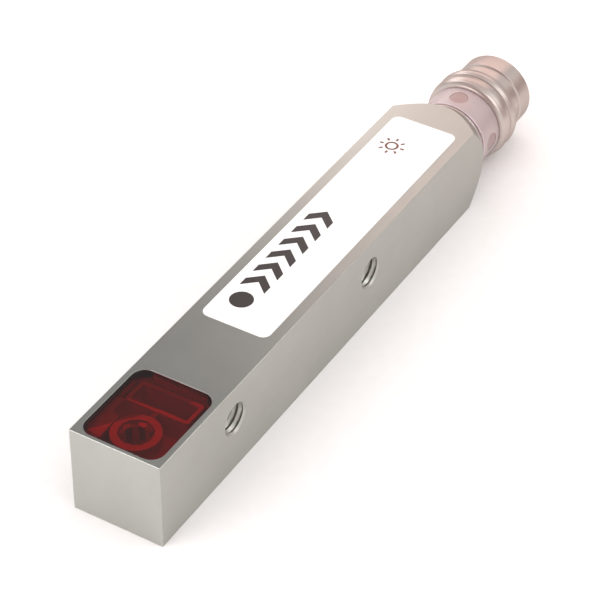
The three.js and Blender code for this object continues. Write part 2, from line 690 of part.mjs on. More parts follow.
// The main board with its parts. Each part is [name, size, material, x, y] on the board's top. The signal
// parts follow the first fixing hole's boss and the power parts lie ahead of the leads.
function boardPieces() {
  const group = new THREE.Group();
  const board = block([BOARD_START_X, -BOARD_Y, -BOARD_THICKNESS], [BOARD_END_X, BOARD_Y, 0]);
  group.add(piece("main_board", board, boardGreen));
  const signal = HOLE_XS[0] + BOSS_R;
  const power = BOARD_END_X - LEAD_LANDING;
  const parts = [
    ["emitter_led", EMITTER, ledPlastic, BARREL_INSET, 0],
    ["receiver_diode", RECEIVER, sensorGlass, CHAMBER_X, 0],
    ["signal_chip", CHIP, epoxyBlack, signal + 4.2, 0],
    ["controller_chip", CHIP, epoxyBlack, signal + 11, 0],
    ["resonator", RESONATOR, metalCan, signal + 14.6, 1.6],
    ["voltage_regulator", REGULATOR, epoxyBlack, power - 6.2, 1.4],
    ["output_transistor_1", TRANSISTOR, epoxyBlack, power - 6.2, -1.9],
    ["output_transistor_2", TRANSISTOR, epoxyBlack, power - 2.4, -1.9],
    ["surge_diode", SURGE_DIODE, epoxyBlack, power - 2.4, 1.3],
    ["capacitor_1", CAPACITOR, ceramicTan, signal + 1, 1.8],
    ["capacitor_2", CAPACITOR, ceramicTan, signal + 1, -1.8],
    ["capacitor_3", CAPACITOR, ceramicTan, signal + 7.6, 2.4],
    ["capacitor_4", CAPACITOR, ceramicTan, signal + 7.6, -2.4],
    ["capacitor_5", CAPACITOR, ceramicTan, signal + 14.6, -1.6],
    ["capacitor_6", CAPACITOR, ceramicTan, power - 8.7, 1.4],
    ["resistor_1", RESISTOR, resistorBlack, signal + 1, 0],
    ["resistor_2", RESISTOR, resistorBlack, signal + 7.6, 0.8],
    ["resistor_3", RESISTOR, resistorBlack, signal + 7.6, -0.8],
    ["resistor_4", RESISTOR, resistorBlack, signal + 14.6, 0],
    ["resistor_5", RESISTOR, resistorBlack, power - 8.7, -0.4],
    ["resistor_6", RESISTOR, resistorBlack, power - 8.7, -2],
  ];
  for (const [name, size, material, x, y] of parts) {
    group.add(piece(name, chip(size), material, x, y));
  }
  group.position.z = BOARD_TOP_Z;
  return group;
}

// Four light pipes and four LEDs, a quarter turn apart around the plug's axis.
function statusLights() {
  const group = new THREE.Group();
  group.add(piece("light_ring", lightRing(), frostedPlastic));
  group.add(piece("light_board", lightBoard(), boardGreen, LIGHT_BOARD_X));
  const ledR = LIGHT_CHAMBER_R - SLIP * 2;
  for (let i = 0; i < 4; i += 1) {
    const spoke = new THREE.Group();
    spoke.add(piece(`light_pipe_${i + 1}`, lightPipe(), pipePlastic));
    const [length, width, height] = LED;
    const top = Math.sqrt(ledR ** 2 - (width / 2) ** 2);
    const ledX = LIGHT_BOARD_FRONT_X + length / 2 - PIPE_X;
    spoke.add(piece(`status_led_${i + 1}`, chip(LED), ledPlastic, ledX, 0, top - height));
    spoke.rotation.x = (i * Math.PI) / 2;
    spoke.position.set(PIPE_X, 0, AXIS_Z);
    group.add(spoke);
  }
  return group;
}

function plugPieces() {
  const group = new THREE.Group();
  group.add(piece("plug_shell", plugShell(), plugSteel));
  const sealX = COLLAR_X - GROOVE_BACK + GROOVE_WIDTH / 2;
  group.add(piece("bar_seal", barSeal(), blackRubber, sealX, 0, AXIS_Z));
  group.add(piece("contact_carrier", contactCarrier(), blackPlastic));
  for (const [number, angle] of Object.entries(PIN_ANGLES)) {
    const [y, z] = pinPlace(angle);
    group.add(piece(`contact_pin_${number}`, contactPin(), goldPlate, 0, y, z));
  }
  group.add(piece("resin_plug", resinPlug(), amberResin));
  const leads = [["brown", LEAD_SPACING, 1], ["blue", -LEAD_SPACING, 3], ["black", 0, 4]];
  for (const [colour, padY, pin] of leads) {
    const geometry = lead(padY, pinPlace(PIN_ANGLES[pin]));
    group.add(piece(`lead_${colour}`, geometry, leadCover[colour]));
  }
  return group;
}

const sensor = new THREE.Group();
sensor.add(bodyPieces(), opticsPieces(), boardPieces(), statusLights(), plugPieces());
sensor.position.x = -RIM_X / 2;

export default sensor;
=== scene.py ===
"""The looks of a miniature photoelectric sensor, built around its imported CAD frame.

Metres, in the frame's own axes: +X runs from the optics end to the plug, Y across the bar and +Z out of
the face that carries the window and the label. The shapes that show are remade finely over the CAD solids,
and the parts inside keep their CAD solids under better finishes.
"""

import json
import math

import bmesh
import bpy
from bpy.props import FloatProperty, FloatVectorProperty, IntProperty, PointerProperty
from mathutils import Matrix, Vector


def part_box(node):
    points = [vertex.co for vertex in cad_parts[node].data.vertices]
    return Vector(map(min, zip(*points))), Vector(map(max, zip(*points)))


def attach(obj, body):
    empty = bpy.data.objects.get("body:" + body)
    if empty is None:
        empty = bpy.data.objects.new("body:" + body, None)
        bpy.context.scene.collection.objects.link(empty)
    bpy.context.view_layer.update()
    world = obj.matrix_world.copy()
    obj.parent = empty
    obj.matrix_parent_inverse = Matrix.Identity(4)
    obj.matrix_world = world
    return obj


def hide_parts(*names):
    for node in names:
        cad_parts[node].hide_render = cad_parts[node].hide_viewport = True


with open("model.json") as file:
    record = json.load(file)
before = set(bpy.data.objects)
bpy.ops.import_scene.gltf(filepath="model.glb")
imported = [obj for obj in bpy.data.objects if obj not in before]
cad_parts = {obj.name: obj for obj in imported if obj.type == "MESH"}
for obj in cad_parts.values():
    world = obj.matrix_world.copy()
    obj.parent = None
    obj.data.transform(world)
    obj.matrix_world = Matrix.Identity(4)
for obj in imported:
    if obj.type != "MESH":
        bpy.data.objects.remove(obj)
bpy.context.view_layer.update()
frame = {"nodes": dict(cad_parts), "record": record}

bl_info = {
    "name": "Photoelectric Sensor",
    "version": (1, 0, 0),
    "blender": (4, 5, 0),
    "location": "3D View > Sidebar > Sensor",
    "description": "Builds a miniature square-bar photoelectric sensor around its CAD frame",
    "category": "Object",
}

BODY = "root"

MM = 0.001
FULL_TURN = 2 * math.pi
QUARTER_TURN = math.pi / 2
OVERCUT = 1 * MM  # how far a cutter runs past the face that it opens
SINK = 0.02 * MM  # how far a joined shape starts inside its neighbour
FIT = 0.02 * MM  # clearance around a part that sits in another
LENS_MARGIN = 0.05 * MM  # how far a lens's curved part stays inside its opening
SMOOTH_ANGLE = math.radians(24)
NOISE_RANGE = (0.3, 0.7)  # where nearly all of a noise texture's values lie
ROSE = (1.0, 0.76, 0.7)

# Where the CAD solids are
BAR_LOW, BAR_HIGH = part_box("housing")
FRONT_X = BAR_LOW.x
BAR_END_X = BAR_HIGH.x
HALF_BAR = BAR_HIGH.y
AXIS_Z = (BAR_LOW.z + BAR_HIGH.z) / 2
COVER_LOW, COVER_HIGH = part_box("base_cover")
BOARD_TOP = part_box("main_board")[1].z
PANE_LOW, PANE_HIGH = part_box("window")
SEAL_LOW, SEAL_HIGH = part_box("window_seal")
LABEL_LOW, LABEL_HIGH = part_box("label")
CARRIER_LOW, CARRIER_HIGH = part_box("optics_carrier")
ROUND_LENS_LOW, ROUND_LENS_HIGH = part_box("emitter_lens")
LONG_LENS_LOW, LONG_LENS_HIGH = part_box("receiver_lens")
SHELL_LOW, SHELL_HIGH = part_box("plug_shell")
RING_LOW, RING_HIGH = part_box("light_ring")
PIPE_LOW, PIPE_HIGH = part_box("light_pipe_1")
PIPE_X = (PIPE_LOW.x + PIPE_HIGH.x) / 2
PIPE_RADIUS = (PIPE_HIGH.x - PIPE_LOW.x) / 2
CONTACT_LOW, CONTACT_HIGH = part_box("contact_carrier")
PIN_LOW, PIN_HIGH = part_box("contact_pin_4")


# ---------------------------------------------------------------------------------------------------------
# Settings
# ---------------------------------------------------------------------------------------------------------


def length(name, description, millimetres):
    """A length property, from a default in millimetres."""
    return FloatProperty(
        name=name, description=description, default=millimetres * MM, min=0, precision=5, unit="LENGTH"
    )


def place(name, description, metres):
    """A place along X or Z, which may be below zero."""
    return FloatProperty(name=name, description=description, default=metres, precision=5, unit="LENGTH")


def colour(name, description, linear):
    """A colour property, from linear red, green and blue."""
    return FloatVectorProperty(
        name=name, description=description, default=linear, subtype="COLOR", min=0, max=1, size=3
    )


class BarSizes(bpy.types.PropertyGroup):
    """Sizes of the square bar and of what is cut into it."""

    edge_break: length("Edge Break", "Width of the chamfer on the bar's edges", 0.03)
    roof: length("Roof", "Thickness of the face over the cavity", 0.6)
    flat_length: length("Flat Length", "Front face to where the cone meets the middle of the flats", 50.75)
    cone_run: length("Cone Run", "Length of the cone from the corners to the middle of the flats", 2.25)
    window_inset: length("Window Inset", "Front face to the window opening", 0.3)
    window_rim: length("Window Rim", "Metal left beside the window opening", 0.5)
    window_corner: length("Window Corner", "Corner radius of the window opening", 1.2)
    shoulder: length("Shoulder", "How far the cavity narrows above the board", 0.2)
    hole_inset: length("Hole Inset", "Front face to the first fixing hole", 10.15)
    hole_pitch: length("Hole Pitch", "Distance between the fixing holes", 20.6)
    hole_drop: length("Hole Drop", "Top face to the holes' axes", 3.1)
    boss_radius: length("Boss Radius", "Metal around a fixing hole inside the cavity", 2.05)
    bore_radius: length("Bore Radius", "Bore that takes the plug body's tail", 3.1)
    end_radius: length("End Radius", "Radius of the bar's end face", 3.55)


class ThreadSizes(bpy.types.PropertyGroup):
    """Sizes of the thread in the fixing holes."""

    core_radius: length("Core Radius", "Radius at the thread's crests", 1.25)
    root_radius: length("Root Radius", "Radius at the thread's roots", 1.44)
    pitch: length("Pitch", "Distance between turns", 0.5)
    mouth_radius: length("Mouth Radius", "Radius of the countersink at the face", 1.42)
    sides: IntProperty(name="Sides", description="Facets around the hole", default=56, min=12, max=128)
    rows: IntProperty(name="Rows", description="Facets along each turn", default=10, min=4, max=24)


class PlugSizes(bpy.types.PropertyGroup):
    """Sizes of the turned plug body."""

    tail_radius: length("Tail Radius", "Part that sits in the bar", 3.05)
    tail_bore: length("Tail Bore", "Bore radius of the tail", 2.3)
    groove_back: length("Groove Back", "Collar to the seal's groove", 3.2)
    groove_width: length("Groove Width", "Width of the seal's groove", 0.8)
    groove_depth: length("Groove Depth", "Depth of the seal's groove", 0.4)
    collar_radius: length("Collar Radius", "Collar between the bar and the light ring", 3.4)
    seat_radius: length("Seat Radius", "Seat under the light ring", 2.95)
    chamber_radius: length("Chamber Radius", "Chamber under the light ring", 2.5)
    socket_radius: length("Socket Radius", "Inside of the plug's mouth", 2.85)
    foot_radius: length("Foot Radius", "Foot of the first ridge", 3.45)
    ridge_radius: length("Ridge Radius", "Crest of the two ridges", 3.98)
    ridge_crown: length("Ridge Crown", "How much higher a ridge is in its middle", 0.07)
    first_ridge: length("First Ridge", "Length of the first ridge", 1.6)
    second_ridge: length("Second Ridge", "Length of the second ridge", 1.2)
    lead_in: length("Lead-in", "Length of the first ridge's slow rise", 0.5)
    fall: length("Fall", "Length of the second ridge's drop", 0.35)
    vee_radius: length("Vee Radius", "Bottom of the groove between the ridges", 3.76)
    vee_half_width: length("Vee Half Width", "Half the width of that groove", 0.2)
    neck_length: length("Neck Length", "Length of the neck before the lip", 1.5)
    neck_radius: length("Neck Radius", "Radius of the neck", 3.32)
    lip_radius: length("Lip Radius", "Radius of the lip", 3.45)
    segments: IntProperty(name="Segments", description="Facets around", default=160, min=24, max=256)


class OpticsSizes(bpy.types.PropertyGroup):
    """Sizes of the moulding behind the window and of its lenses."""

    barrel_inset: length("Barrel Inset", "Front face to the emitter's axis", 2.85)
    barrel_radius: length("Barrel Radius", "Outside of the emitter's barrel", 2.0)
    mouth_radius: length("Mouth Radius", "Inside of the barrel's mouth", 1.4)
    mouth_depth: length("Mouth Depth", "Depth of the barrel's mouth", 0.45)
    bore_radius: length("Bore Radius", "Barrel bore below the mouth", 1.15)
    chamber_back_wall: length("Chamber Back Wall", "Wall behind the receiver's chamber", 0.45)
    chamber_length: length("Chamber Length", "Receiver's chamber along the bar", 1.68)
    chamber_width: length("Chamber Width", "Receiver's chamber across the bar", 5.0)
    chamber_wall: length("Chamber Wall", "Wall around the receiver's chamber", 0.36)
    ledge_width: length("Ledge Width", "Full-height ledge on one side of the barrel", 1.2)
    base_height: length("Base Height", "Height of the moulding's solid lower half", 3.6)
    step_drop: length("Step Drop", "Top to the low shelf on the other side", 1.1)
    step_length: length("Step Length", "Length of the low shelf", 2.6)
    rib_width: length("Rib Width", "Web from the barrel to the chamber", 0.4)
    bore_facets: IntProperty(
        name="Bore Facets", description="Flutes around the barrel's inside", default=14, min=6, max=96
    )
    tub_inset: length("Tub Inset", "Front face to the rim that closes the space under the window", 0.42)
    tub_wall: length("Tub Wall", "Thickness of that rim", 0.13)
    tub_depth: length("Tub Depth", "Depth of that rim's floor", 0.85)
    lens_seat: length("Lens Seat", "How far a lens reaches into its wall", 0.2)
    lens_edge: length("Lens Edge", "Thickness of a lens at its foot", 0.5)


class PrintSizes(bpy.types.PropertyGroup):
    """Sizes of the plain signs printed on the label."""

    film_corner: length("Film Corner", "Corner radius of the label film", 0.7)
    film_edge: length("Film Edge", "Rounding of the label film's edge", 0.02)
    ink: length("Ink", "Thickness of the ink", 0.004)
    beam_inset: length("Beam Inset", "Front face to the beam sign", 18.2)
    beam_centre: length("Beam Centre", "Middle of the signs, across the bar", 1.1)
    beam_height: length("Beam Height", "Height of the beam sign", 2.3)
    arrows: IntProperty(name="Arrows", description="Arrows in the beam sign", default=6, min=1, max=12)
    first_arrow: length("First Arrow", "Start of the beam sign to its first arrow", 2.5)
    arrow_pitch: length("Arrow Pitch", "Distance between the arrows", 1.95)
    arrow_stroke: length("Arrow Stroke", "Width of an arrow's stroke along the bar", 0.95)
    lamp_inset: length("Lamp Inset", "Front face to the middle of the lamp sign", 43.2)
    lamp_radius: length("Lamp Radius", "Ring of the lamp sign", 0.5)
    line: length("Line", "Width of the lamp sign's lines", 0.2)


class Finishes(bpy.types.PropertyGroup):
    """Colours of the finishes that show."""

    bar_metal: colour("Bar Metal", "Satin metal of the bar", (0.485, 0.492, 0.464))
    cut_metal: colour("Cut Metal", "Bright metal of the tapped holes", (0.5, 0.5, 0.465))
    plug_metal: colour("Plug Metal", "Turned metal of the plug", (0.57, 0.5, 0.47))
    pane_red: colour("Window Red", "What the window lets through", (0.68, 0.05, 0.04))
    film_white: colour("Label White", "Label film", (0.92, 0.92, 0.92))
    ink_dark: colour("Dark Ink", "Ink of the beam sign", (0.035, 0.028, 0.026))
    ink_brown: colour("Brown Ink", "Ink of the lamp sign", (0.16, 0.055, 0.04))
    ring_frost: colour("Ring Frost", "Frosted light ring", (0.5, 0.415, 0.415))
    # Painted glow: the ring's two ends are painted paler, standing in for light that leaves them
    ring_rim_glow: colour("Ring Rim Glow", "Ends of the light ring", (0.68, 0.56, 0.6))
    pipe_red: colour("Pipe Red", "Light pipes in the ring", (0.4, 0.285, 0.28))
    moulding: colour("Moulding", "Plastic behind the window", (0.33, 0.295, 0.285))
    # Painted light: the moulding is painted paler deep behind the window, against the shade there
    moulding_painted_light: colour("Moulding Painted Light", "Same plastic, deep behind the window", (0.8, 0.72, 0.7))
    gold: colour("Gold", "Plating of the contacts", (0.83, 0.58, 0.22))


class StageSettings(bpy.types.PropertyGroup):
    """Camera and lights."""

    azimuth: FloatProperty(
        name="Azimuth", description="Camera's bearing, from behind -Y", default=math.radians(-59.338), subtype="ANGLE"
    )
    elevation: FloatProperty(
        name="Elevation", description="Camera's height angle", default=math.radians(39.697), subtype="ANGLE"
    )
    roll: FloatProperty(name="Roll", description="Camera's roll", default=math.radians(0.573), subtype="ANGLE")
    camera_place: FloatVectorProperty(
        name="Camera Place",
        description="Camera's place from the middle of the bar's front edge at the floor",
        default=(-99.453 * MM, -74.559 * MM, 124.819 * MM),
        subtype="TRANSLATION",
    )
    lens: FloatProperty(name="Lens", description="Focal length in millimetres", default=140.27, min=20)
    sky: FloatProperty(name="Sky", description="Brightness of the studio all round", default=1.1, min=0)
    shade: FloatProperty(name="Shade", description="Brightness of its three darker sides", default=0.39, min=0)
    floor_light: FloatProperty(
        name="Floor Light", description="Brightness of the panel that only whitens the floor", default=0.95, min=0
    )
    rear: FloatProperty(name="Rear", description="Brightness of the warm rear panel", default=1.1, min=0)
    front: FloatProperty(name="Front", description="Brightness of the panel before the optics", default=2.9, min=0)
    left: FloatProperty(name="Left", description="Brightness of the low rose panel", default=0.45, min=0)
    right: FloatProperty(name="Right", description="Brightness of the panel above the plug", default=2.0, min=0)
    glint: FloatProperty(name="Glint", description="Brightness of the panel beside the plug", default=1.9, min=0)


# ---------------------------------------------------------------------------------------------------------
# Shapes
# ---------------------------------------------------------------------------------------------------------


def spans(low, high):
    """Where a box starts and ends on each axis, from its two corners."""
    return tuple(zip(low, high))


def object_from(name, mesh_code):
    """A new object at the origin, with faces outwards, from a bmesh that is used up."""
    bmesh.ops.recalc_face_normals(mesh_code, faces=mesh_code.faces)
    mesh = bpy.data.meshes.new(name)
    mesh_code.to_mesh(mesh)
    mesh_code.free()
    obj = bpy.data.objects.new(name, mesh)
    bpy.context.scene.collection.objects.link(obj)
    return obj


def discard(*objects):
    """Removes helpers once they have been used."""
    for obj in objects:
        mesh = obj.data
        bpy.data.objects.remove(obj)
        if mesh.users == 0:
            bpy.data.meshes.remove(mesh)


def settle(obj):
    """Turns an object's modifiers into plain mesh."""
    bpy.context.view_layer.update()
    evaluated = obj.evaluated_get(bpy.context.evaluated_depsgraph_get())
    mesh = bpy.data.meshes.new_from_object(evaluated)
    old = obj.data
    obj.modifiers.clear()
    obj.data = mesh
    bpy.data.meshes.remove(old)
    return obj


def carve(obj, *steps):
    """Joins to a body, cuts from it or keeps what it shares with, in order, other closed bodies.
    The work is done in millimetres, because the solver is coarse for a part this small."""
    bodies = [obj] + [tool for _, tool in steps]
    for body in bodies:
        body.data.transform(Matrix.Scale(1 / MM, 4))
    for operation, tool in steps:
        modifier = obj.modifiers.new(operation.title(), "BOOLEAN")
        modifier.operation = operation
        modifier.object = tool
        modifier.solver = "MANIFOLD"
    settle(obj)
    obj.data.transform(Matrix.Scale(MM, 4))
    discard(*bodies[1:])
    return obj


def cut(*tools):
    """Steps for carve that take each tool's body away."""
    return [("DIFFERENCE", tool) for tool in tools]


def add(*tools):
    """Steps for carve that join each tool's body on."""
    return [("UNION", tool) for tool in tools]


def loft(name, rings):
    """A closed body through rings of points, each with the same number of points."""
    bm = bmesh.new()
    rows = [[bm.verts.new(point) for point in ring] for ring in rings]
    count = len(rows[0])
    for low, high in zip(rows, rows[1:]):
        for i in range(count):
            j = (i + 1) % count
            bm.faces.new((low[i], low[j], high[j], high[i]))
    bm.faces.new(reversed(rows[0]))
    bm.faces.new(rows[-1])
    return object_from(name, bm)


def rounded_rectangle(xs, ys, radius, steps=8):
    """Points around a rectangle in X and Y with round corners."""
    corners = [(xs[1], ys[0], -1), (xs[1], ys[1], 0), (xs[0], ys[1], 1), (xs[0], ys[0], 2)]
    points = []
    for x, y, quarter in corners:
        cx = x - math.copysign(radius, x - (xs[0] + xs[1]) / 2)
        cy = y - math.copysign(radius, y - (ys[0] + ys[1]) / 2)
        for i in range(steps + 1):
            turn = (quarter + i / steps) * QUARTER_TURN
            points.append((cx + radius * math.cos(turn), cy + radius * math.sin(turn)))
    return points


def slab(name, xs, ys, zs, radius, low_break=0.0, high_break=0.0, steps=8):
    """An upright rounded block whose lower and upper edges may be broken."""
    smallest = 0.01 * MM

    def ring(inset, z):
        flat = rounded_rectangle(
            (xs[0] + inset, xs[1] - inset), (ys[0] + inset, ys[1] - inset), max(radius - inset, smallest), steps
        )
        return [(x, y, z) for x, y in flat]

    rings = [ring(0, zs[0] + low_break), ring(0, zs[1] - high_break)]
    if low_break:
        rings.insert(0, ring(low_break, zs[0]))
    if high_break:
        rings.append(ring(high_break, zs[1]))
    return loft(name, rings)


def box(name, low, high):
    """A plain block, from its lowest and highest corners."""
    bm = bmesh.new()
    bmesh.ops.create_cube(bm, size=1)
    size = Vector(high) - Vector(low)
    middle = (Vector(high) + Vector(low)) / 2
    bmesh.ops.transform(bm, matrix=Matrix.Translation(middle) @ Matrix.Diagonal((*size, 1)), verts=bm.verts)
    return object_from(name, bm)


def rounded_outline(corners):
    """A closed outline from corners given as (along, radius, fillet)."""
    steps = 5
    longest = 0.49  # a fillet takes up less than half of each side
    points = []
    count = len(corners)
    for i, (a, r, fillet) in enumerate(corners):
        here = Vector((a, r))
        before = Vector(corners[i - 1][:2]) - here
        after = Vector(corners[(i + 1) % count][:2]) - here
        if not fillet or before.length < 1e-9 or after.length < 1e-9:
            points.append((a, r))
            continue
        half = before.angle(after) / 2
        reach = min(fillet / math.tan(half), before.length * longest, after.length * longest)
        start = here + before.normalized() * reach
        end = here + after.normalized() * reach
        for k in range(steps + 1):
            t = k / steps
            point = start.lerp(here, t).lerp(here.lerp(end, t), t)
            points.append((point.x, point.y))
    return points


def turned(name, outline, segments, centre=(0, 0), upright=False):
    """A closed body turned about a line along X, or along Z where upright, from (along, radius) points.
    The line passes through centre, which is its place on the other two axes."""
    bm = bmesh.new()
    rows = []
    for along, radius in outline:
        row = []
        for i in range(segments if radius > 1e-8 else 1):
            turn = i / segments * FULL_TURN
            a, b = radius * math.cos(turn), radius * math.sin(turn)
            if upright:
                row.append(bm.verts.new((centre[0] + a, centre[1] + b, along)))
            else:
                row.append(bm.verts.new((along, centre[0] + a, centre[1] + b)))
        rows.append(row)
    for one, two in zip(rows, rows[1:] + rows[:1]):
        for i in range(segments):
            j = (i + 1) % segments
            corners = [one[i % len(one)], one[j % len(one)], two[j % len(two)], two[i % len(two)]]
            corners = list(dict.fromkeys(corners))
            if len(corners) > 2:
                bm.faces.new(corners)
    return object_from(name, bm)


def rod(name, xs, radius, segments=64, centre=(0, AXIS_Z)):
    """A plain rod along X."""
    return turned(name, [(xs[0], 0), (xs[0], radius), (xs[1], radius), (xs[1], 0)], segments, centre)


def post(name, x, zs, radius, edge=0.0, segments=64):
    """An upright rod in the bar's middle plane, whose top edge may be rounded."""
    corners = [(zs[0], 0, 0), (zs[0], radius, 0), (zs[1], radius, edge), (zs[1], 0, 0)]
    return turned(name, rounded_outline(corners), segments, (x, 0), upright=True)


def cross_rod(name, x, z, ys, radii, segments=64):
    """A rod or cone across the bar, with a radius at each end."""
    rings = []
    for y, radius in zip(ys, radii):
        turns = [i / segments * FULL_TURN for i in range(segments)]
        rings.append([(x + radius * math.cos(a), y, z + radius * math.sin(a)) for a in turns])
    return loft(name, rings)


def pipe_holes(reach, radius):
    """The two rods, one across the bar and one upright, that cut all four holes for the light pipes."""
    side = cross_rod("side_hole", PIPE_X, AXIS_Z, (-reach, reach), (radius, radius))
    upright = post("upright_hole", PIPE_X, (AXIS_Z - reach, AXIS_Z + reach), radius)
    return side, upright


def shade(obj):
    """Smooth shading, with sharp edges where faces meet at more than a small angle."""
    mesh = obj.data
    mesh.polygons.foreach_set("use_smooth", [True] * len(mesh.polygons))
    mesh.set_sharp_from_angle(angle=SMOOTH_ANGLE)
    return obj


def two_finishes(body, cutters, outside, inside, every=1):
    """Sets a body to come out in one finish, with another where every so many faces of the cutters cut it."""
    for obj in (body, *cutters):
        obj.data.materials.clear()
        obj.data.materials.append(bpy.data.materials[outside])
        obj.data.materials.append(bpy.data.materials[inside])
    for cutter in cutters:
        marks = [int(i % every == 0) for i in range(len(cutter.data.polygons))]
        cutter.data.polygons.foreach_set("material_index", marks)


def finished(obj, material, replaces=()):
    """Gives a piece its finish, unless it has it already, and fixes it to the body."""
    if material:
        obj.data.materials.clear()
        obj.data.materials.append(bpy.data.materials[material])
    obj.data.name = obj.name
    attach(obj, BODY)
    if replaces:
        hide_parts(*replaces)
    return obj


# ---------------------------------------------------------------------------------------------------------
# Node trees
# ---------------------------------------------------------------------------------------------------------


class Nodes:
    """A node tree, built a node at a time. An input takes another node's socket or a plain value."""

    def __init__(self, tree):
        self.tree = tree

    def feed(self, socket, value):
        if isinstance(value, bpy.types.NodeSocket):
            self.tree.links.new(value, socket)
        else:
            socket.default_value = value

    def node(self, kind, **inputs):
        """A node with its named inputs fed. Underscores stand for spaces."""
        made = self.tree.nodes.new(kind)
        for label, value in inputs.items():
            self.feed(made.inputs[label.replace("_", " ")], value)
        return made

    def math(self, operation, *values, clamp=False):
        made = self.node("ShaderNodeMath")
        made.operation = operation
        made.use_clamp = clamp
        for socket, value in zip(made.inputs, values):
            self.feed(socket, value)
        return made.outputs[0]

    def vector_math(self, operation, vector, other):
        """A vector worked with another, or with a number that scales it."""
        made = self.node("ShaderNodeVectorMath")
        made.operation = operation
        self.feed(made.inputs[0], vector)
        self.feed(made.inputs["Scale" if operation == "SCALE" else 1], other)
        return made

    def spread(self, value, start, end, low=0.0, high=1.0):
        """Runs from low to high as a value runs from start to end, and stays there."""
        made = self.node("ShaderNodeMapRange", Value=value, From_Min=start, From_Max=end, To_Min=low, To_Max=high)
        return made.outputs[0]

    def blend(self, factor, one, two):
        """A colour from one to two, by a factor from 0 to 1. Each is a socket or red, green and blue."""
        made = self.node("ShaderNodeMix")
        made.data_type = "RGBA"
        self.feed(made.inputs["Factor"], factor)
        for label, rgb in (("A", one), ("B", two)):
            self.feed(made.inputs[label], rgb if isinstance(rgb, bpy.types.NodeSocket) else (*rgb, 1))
        return made.outputs["Result"]


class Tree(Nodes):
    """A geometry node tree with named inputs."""

    def __init__(self, name, inputs):
        super().__init__(bpy.data.node_groups.new(name, "GeometryNodeTree"))
        self.tree.interface.new_socket("Geometry", in_out="INPUT", socket_type="NodeSocketGeometry")
        for label, kind in inputs.items():
            self.tree.interface.new_socket(label, in_out="INPUT", socket_type=f"NodeSocket{kind}")
        self.tree.interface.new_socket("Geometry", in_out="OUTPUT", socket_type="NodeSocketGeometry")
        self.given = self.tree.nodes.new("NodeGroupInput").outputs
        self.result = self.tree.nodes.new("NodeGroupOutput").inputs[0]

    def finish(self, geometry):
        """Ends the tree with real geometry in one material."""
        real = self.node("GeometryNodeRealizeInstances", Geometry=geometry)
        dressed = self.node("GeometryNodeSetMaterial", Geometry=real.outputs[0], Material=self.given["Material"])
        self.feed(self.result, dressed.outputs[0])


def grow(name, tree_name, material, values):
    """A new object whose mesh is what a node tree makes with the given input values."""
    obj = bpy.data.objects.new(name, bpy.data.meshes.new(name))
    bpy.context.scene.collection.objects.link(obj)
    modifier = obj.modifiers.new(name, "NODES")
    modifier.node_group = bpy.data.node_groups[tree_name]
    values["Material"] = bpy.data.materials[material]
    for item in modifier.node_group.interface.items_tree:
        if item.item_type == "SOCKET" and item.in_out == "INPUT" and item.name in values:
            modifier[item.identifier] = values[item.name]
    return settle(obj)


def ring_of(name, part, count, axis, centre, material):
    """One object of copies of a part, turned evenly about an axis. The part itself is used up."""
    values = {"Part": part, "Count": count, "Axis": axis, "Centre": centre}
    ring = grow(name, "Ring Of Copies", material, values)
    discard(part)
    return ring


def row_of(name, part, count, step, material, start=(0.0, 0.0, 0.0)):
    """One object of copies of a part, a step apart along the bar. The part itself is used up."""
    values = {"Part": part, "Count": count, "Start": start, "Step": (step, 0.0, 0.0)}
    row = grow(name, "Row Of Copies", material, values)
    discard(part)
    return row


def ring_of_copies_tree():
    """Copies of a part, turned evenly about an axis through a centre."""
    inputs = {"Part": "Object", "Count": "Int", "Axis": "Vector", "Centre": "Vector", "Material": "Material"}
    t = Tree("Ring Of Copies", inputs)
    points = t.node("GeometryNodePoints", Count=t.given["Count"], Position=t.given["Centre"])
    index = t.node("GeometryNodeInputIndex").outputs[0]
    turn = t.math("MULTIPLY", index, t.math("DIVIDE", FULL_TURN, t.given["Count"]))
    rotation = t.vector_math("SCALE", t.given["Axis"], turn)
    part = t.node("GeometryNodeObjectInfo", Object=t.given["Part"])
    copies = t.node(
        "GeometryNodeInstanceOnPoints",
        Points=points.outputs[0],
        Instance=part.outputs["Geometry"],
        Rotation=rotation.outputs[0],
    )
    t.finish(copies.outputs[0])


def row_of_copies_tree():
    """Copies of a part along a straight line."""
    inputs = {"Part": "Object", "Count": "Int", "Start": "Vector", "Step": "Vector", "Material": "Material"}
    t = Tree("Row Of Copies", inputs)
    line = t.node(
        "GeometryNodeMeshLine", Count=t.given["Count"], Start_Location=t.given["Start"], Offset=t.given["Step"]
    )
    part = t.node("GeometryNodeObjectInfo", Object=t.given["Part"])
    copies = t.node("GeometryNodeInstanceOnPoints", Points=line.outputs[0], Instance=part.outputs["Geometry"])
    t.finish(copies.outputs[0])


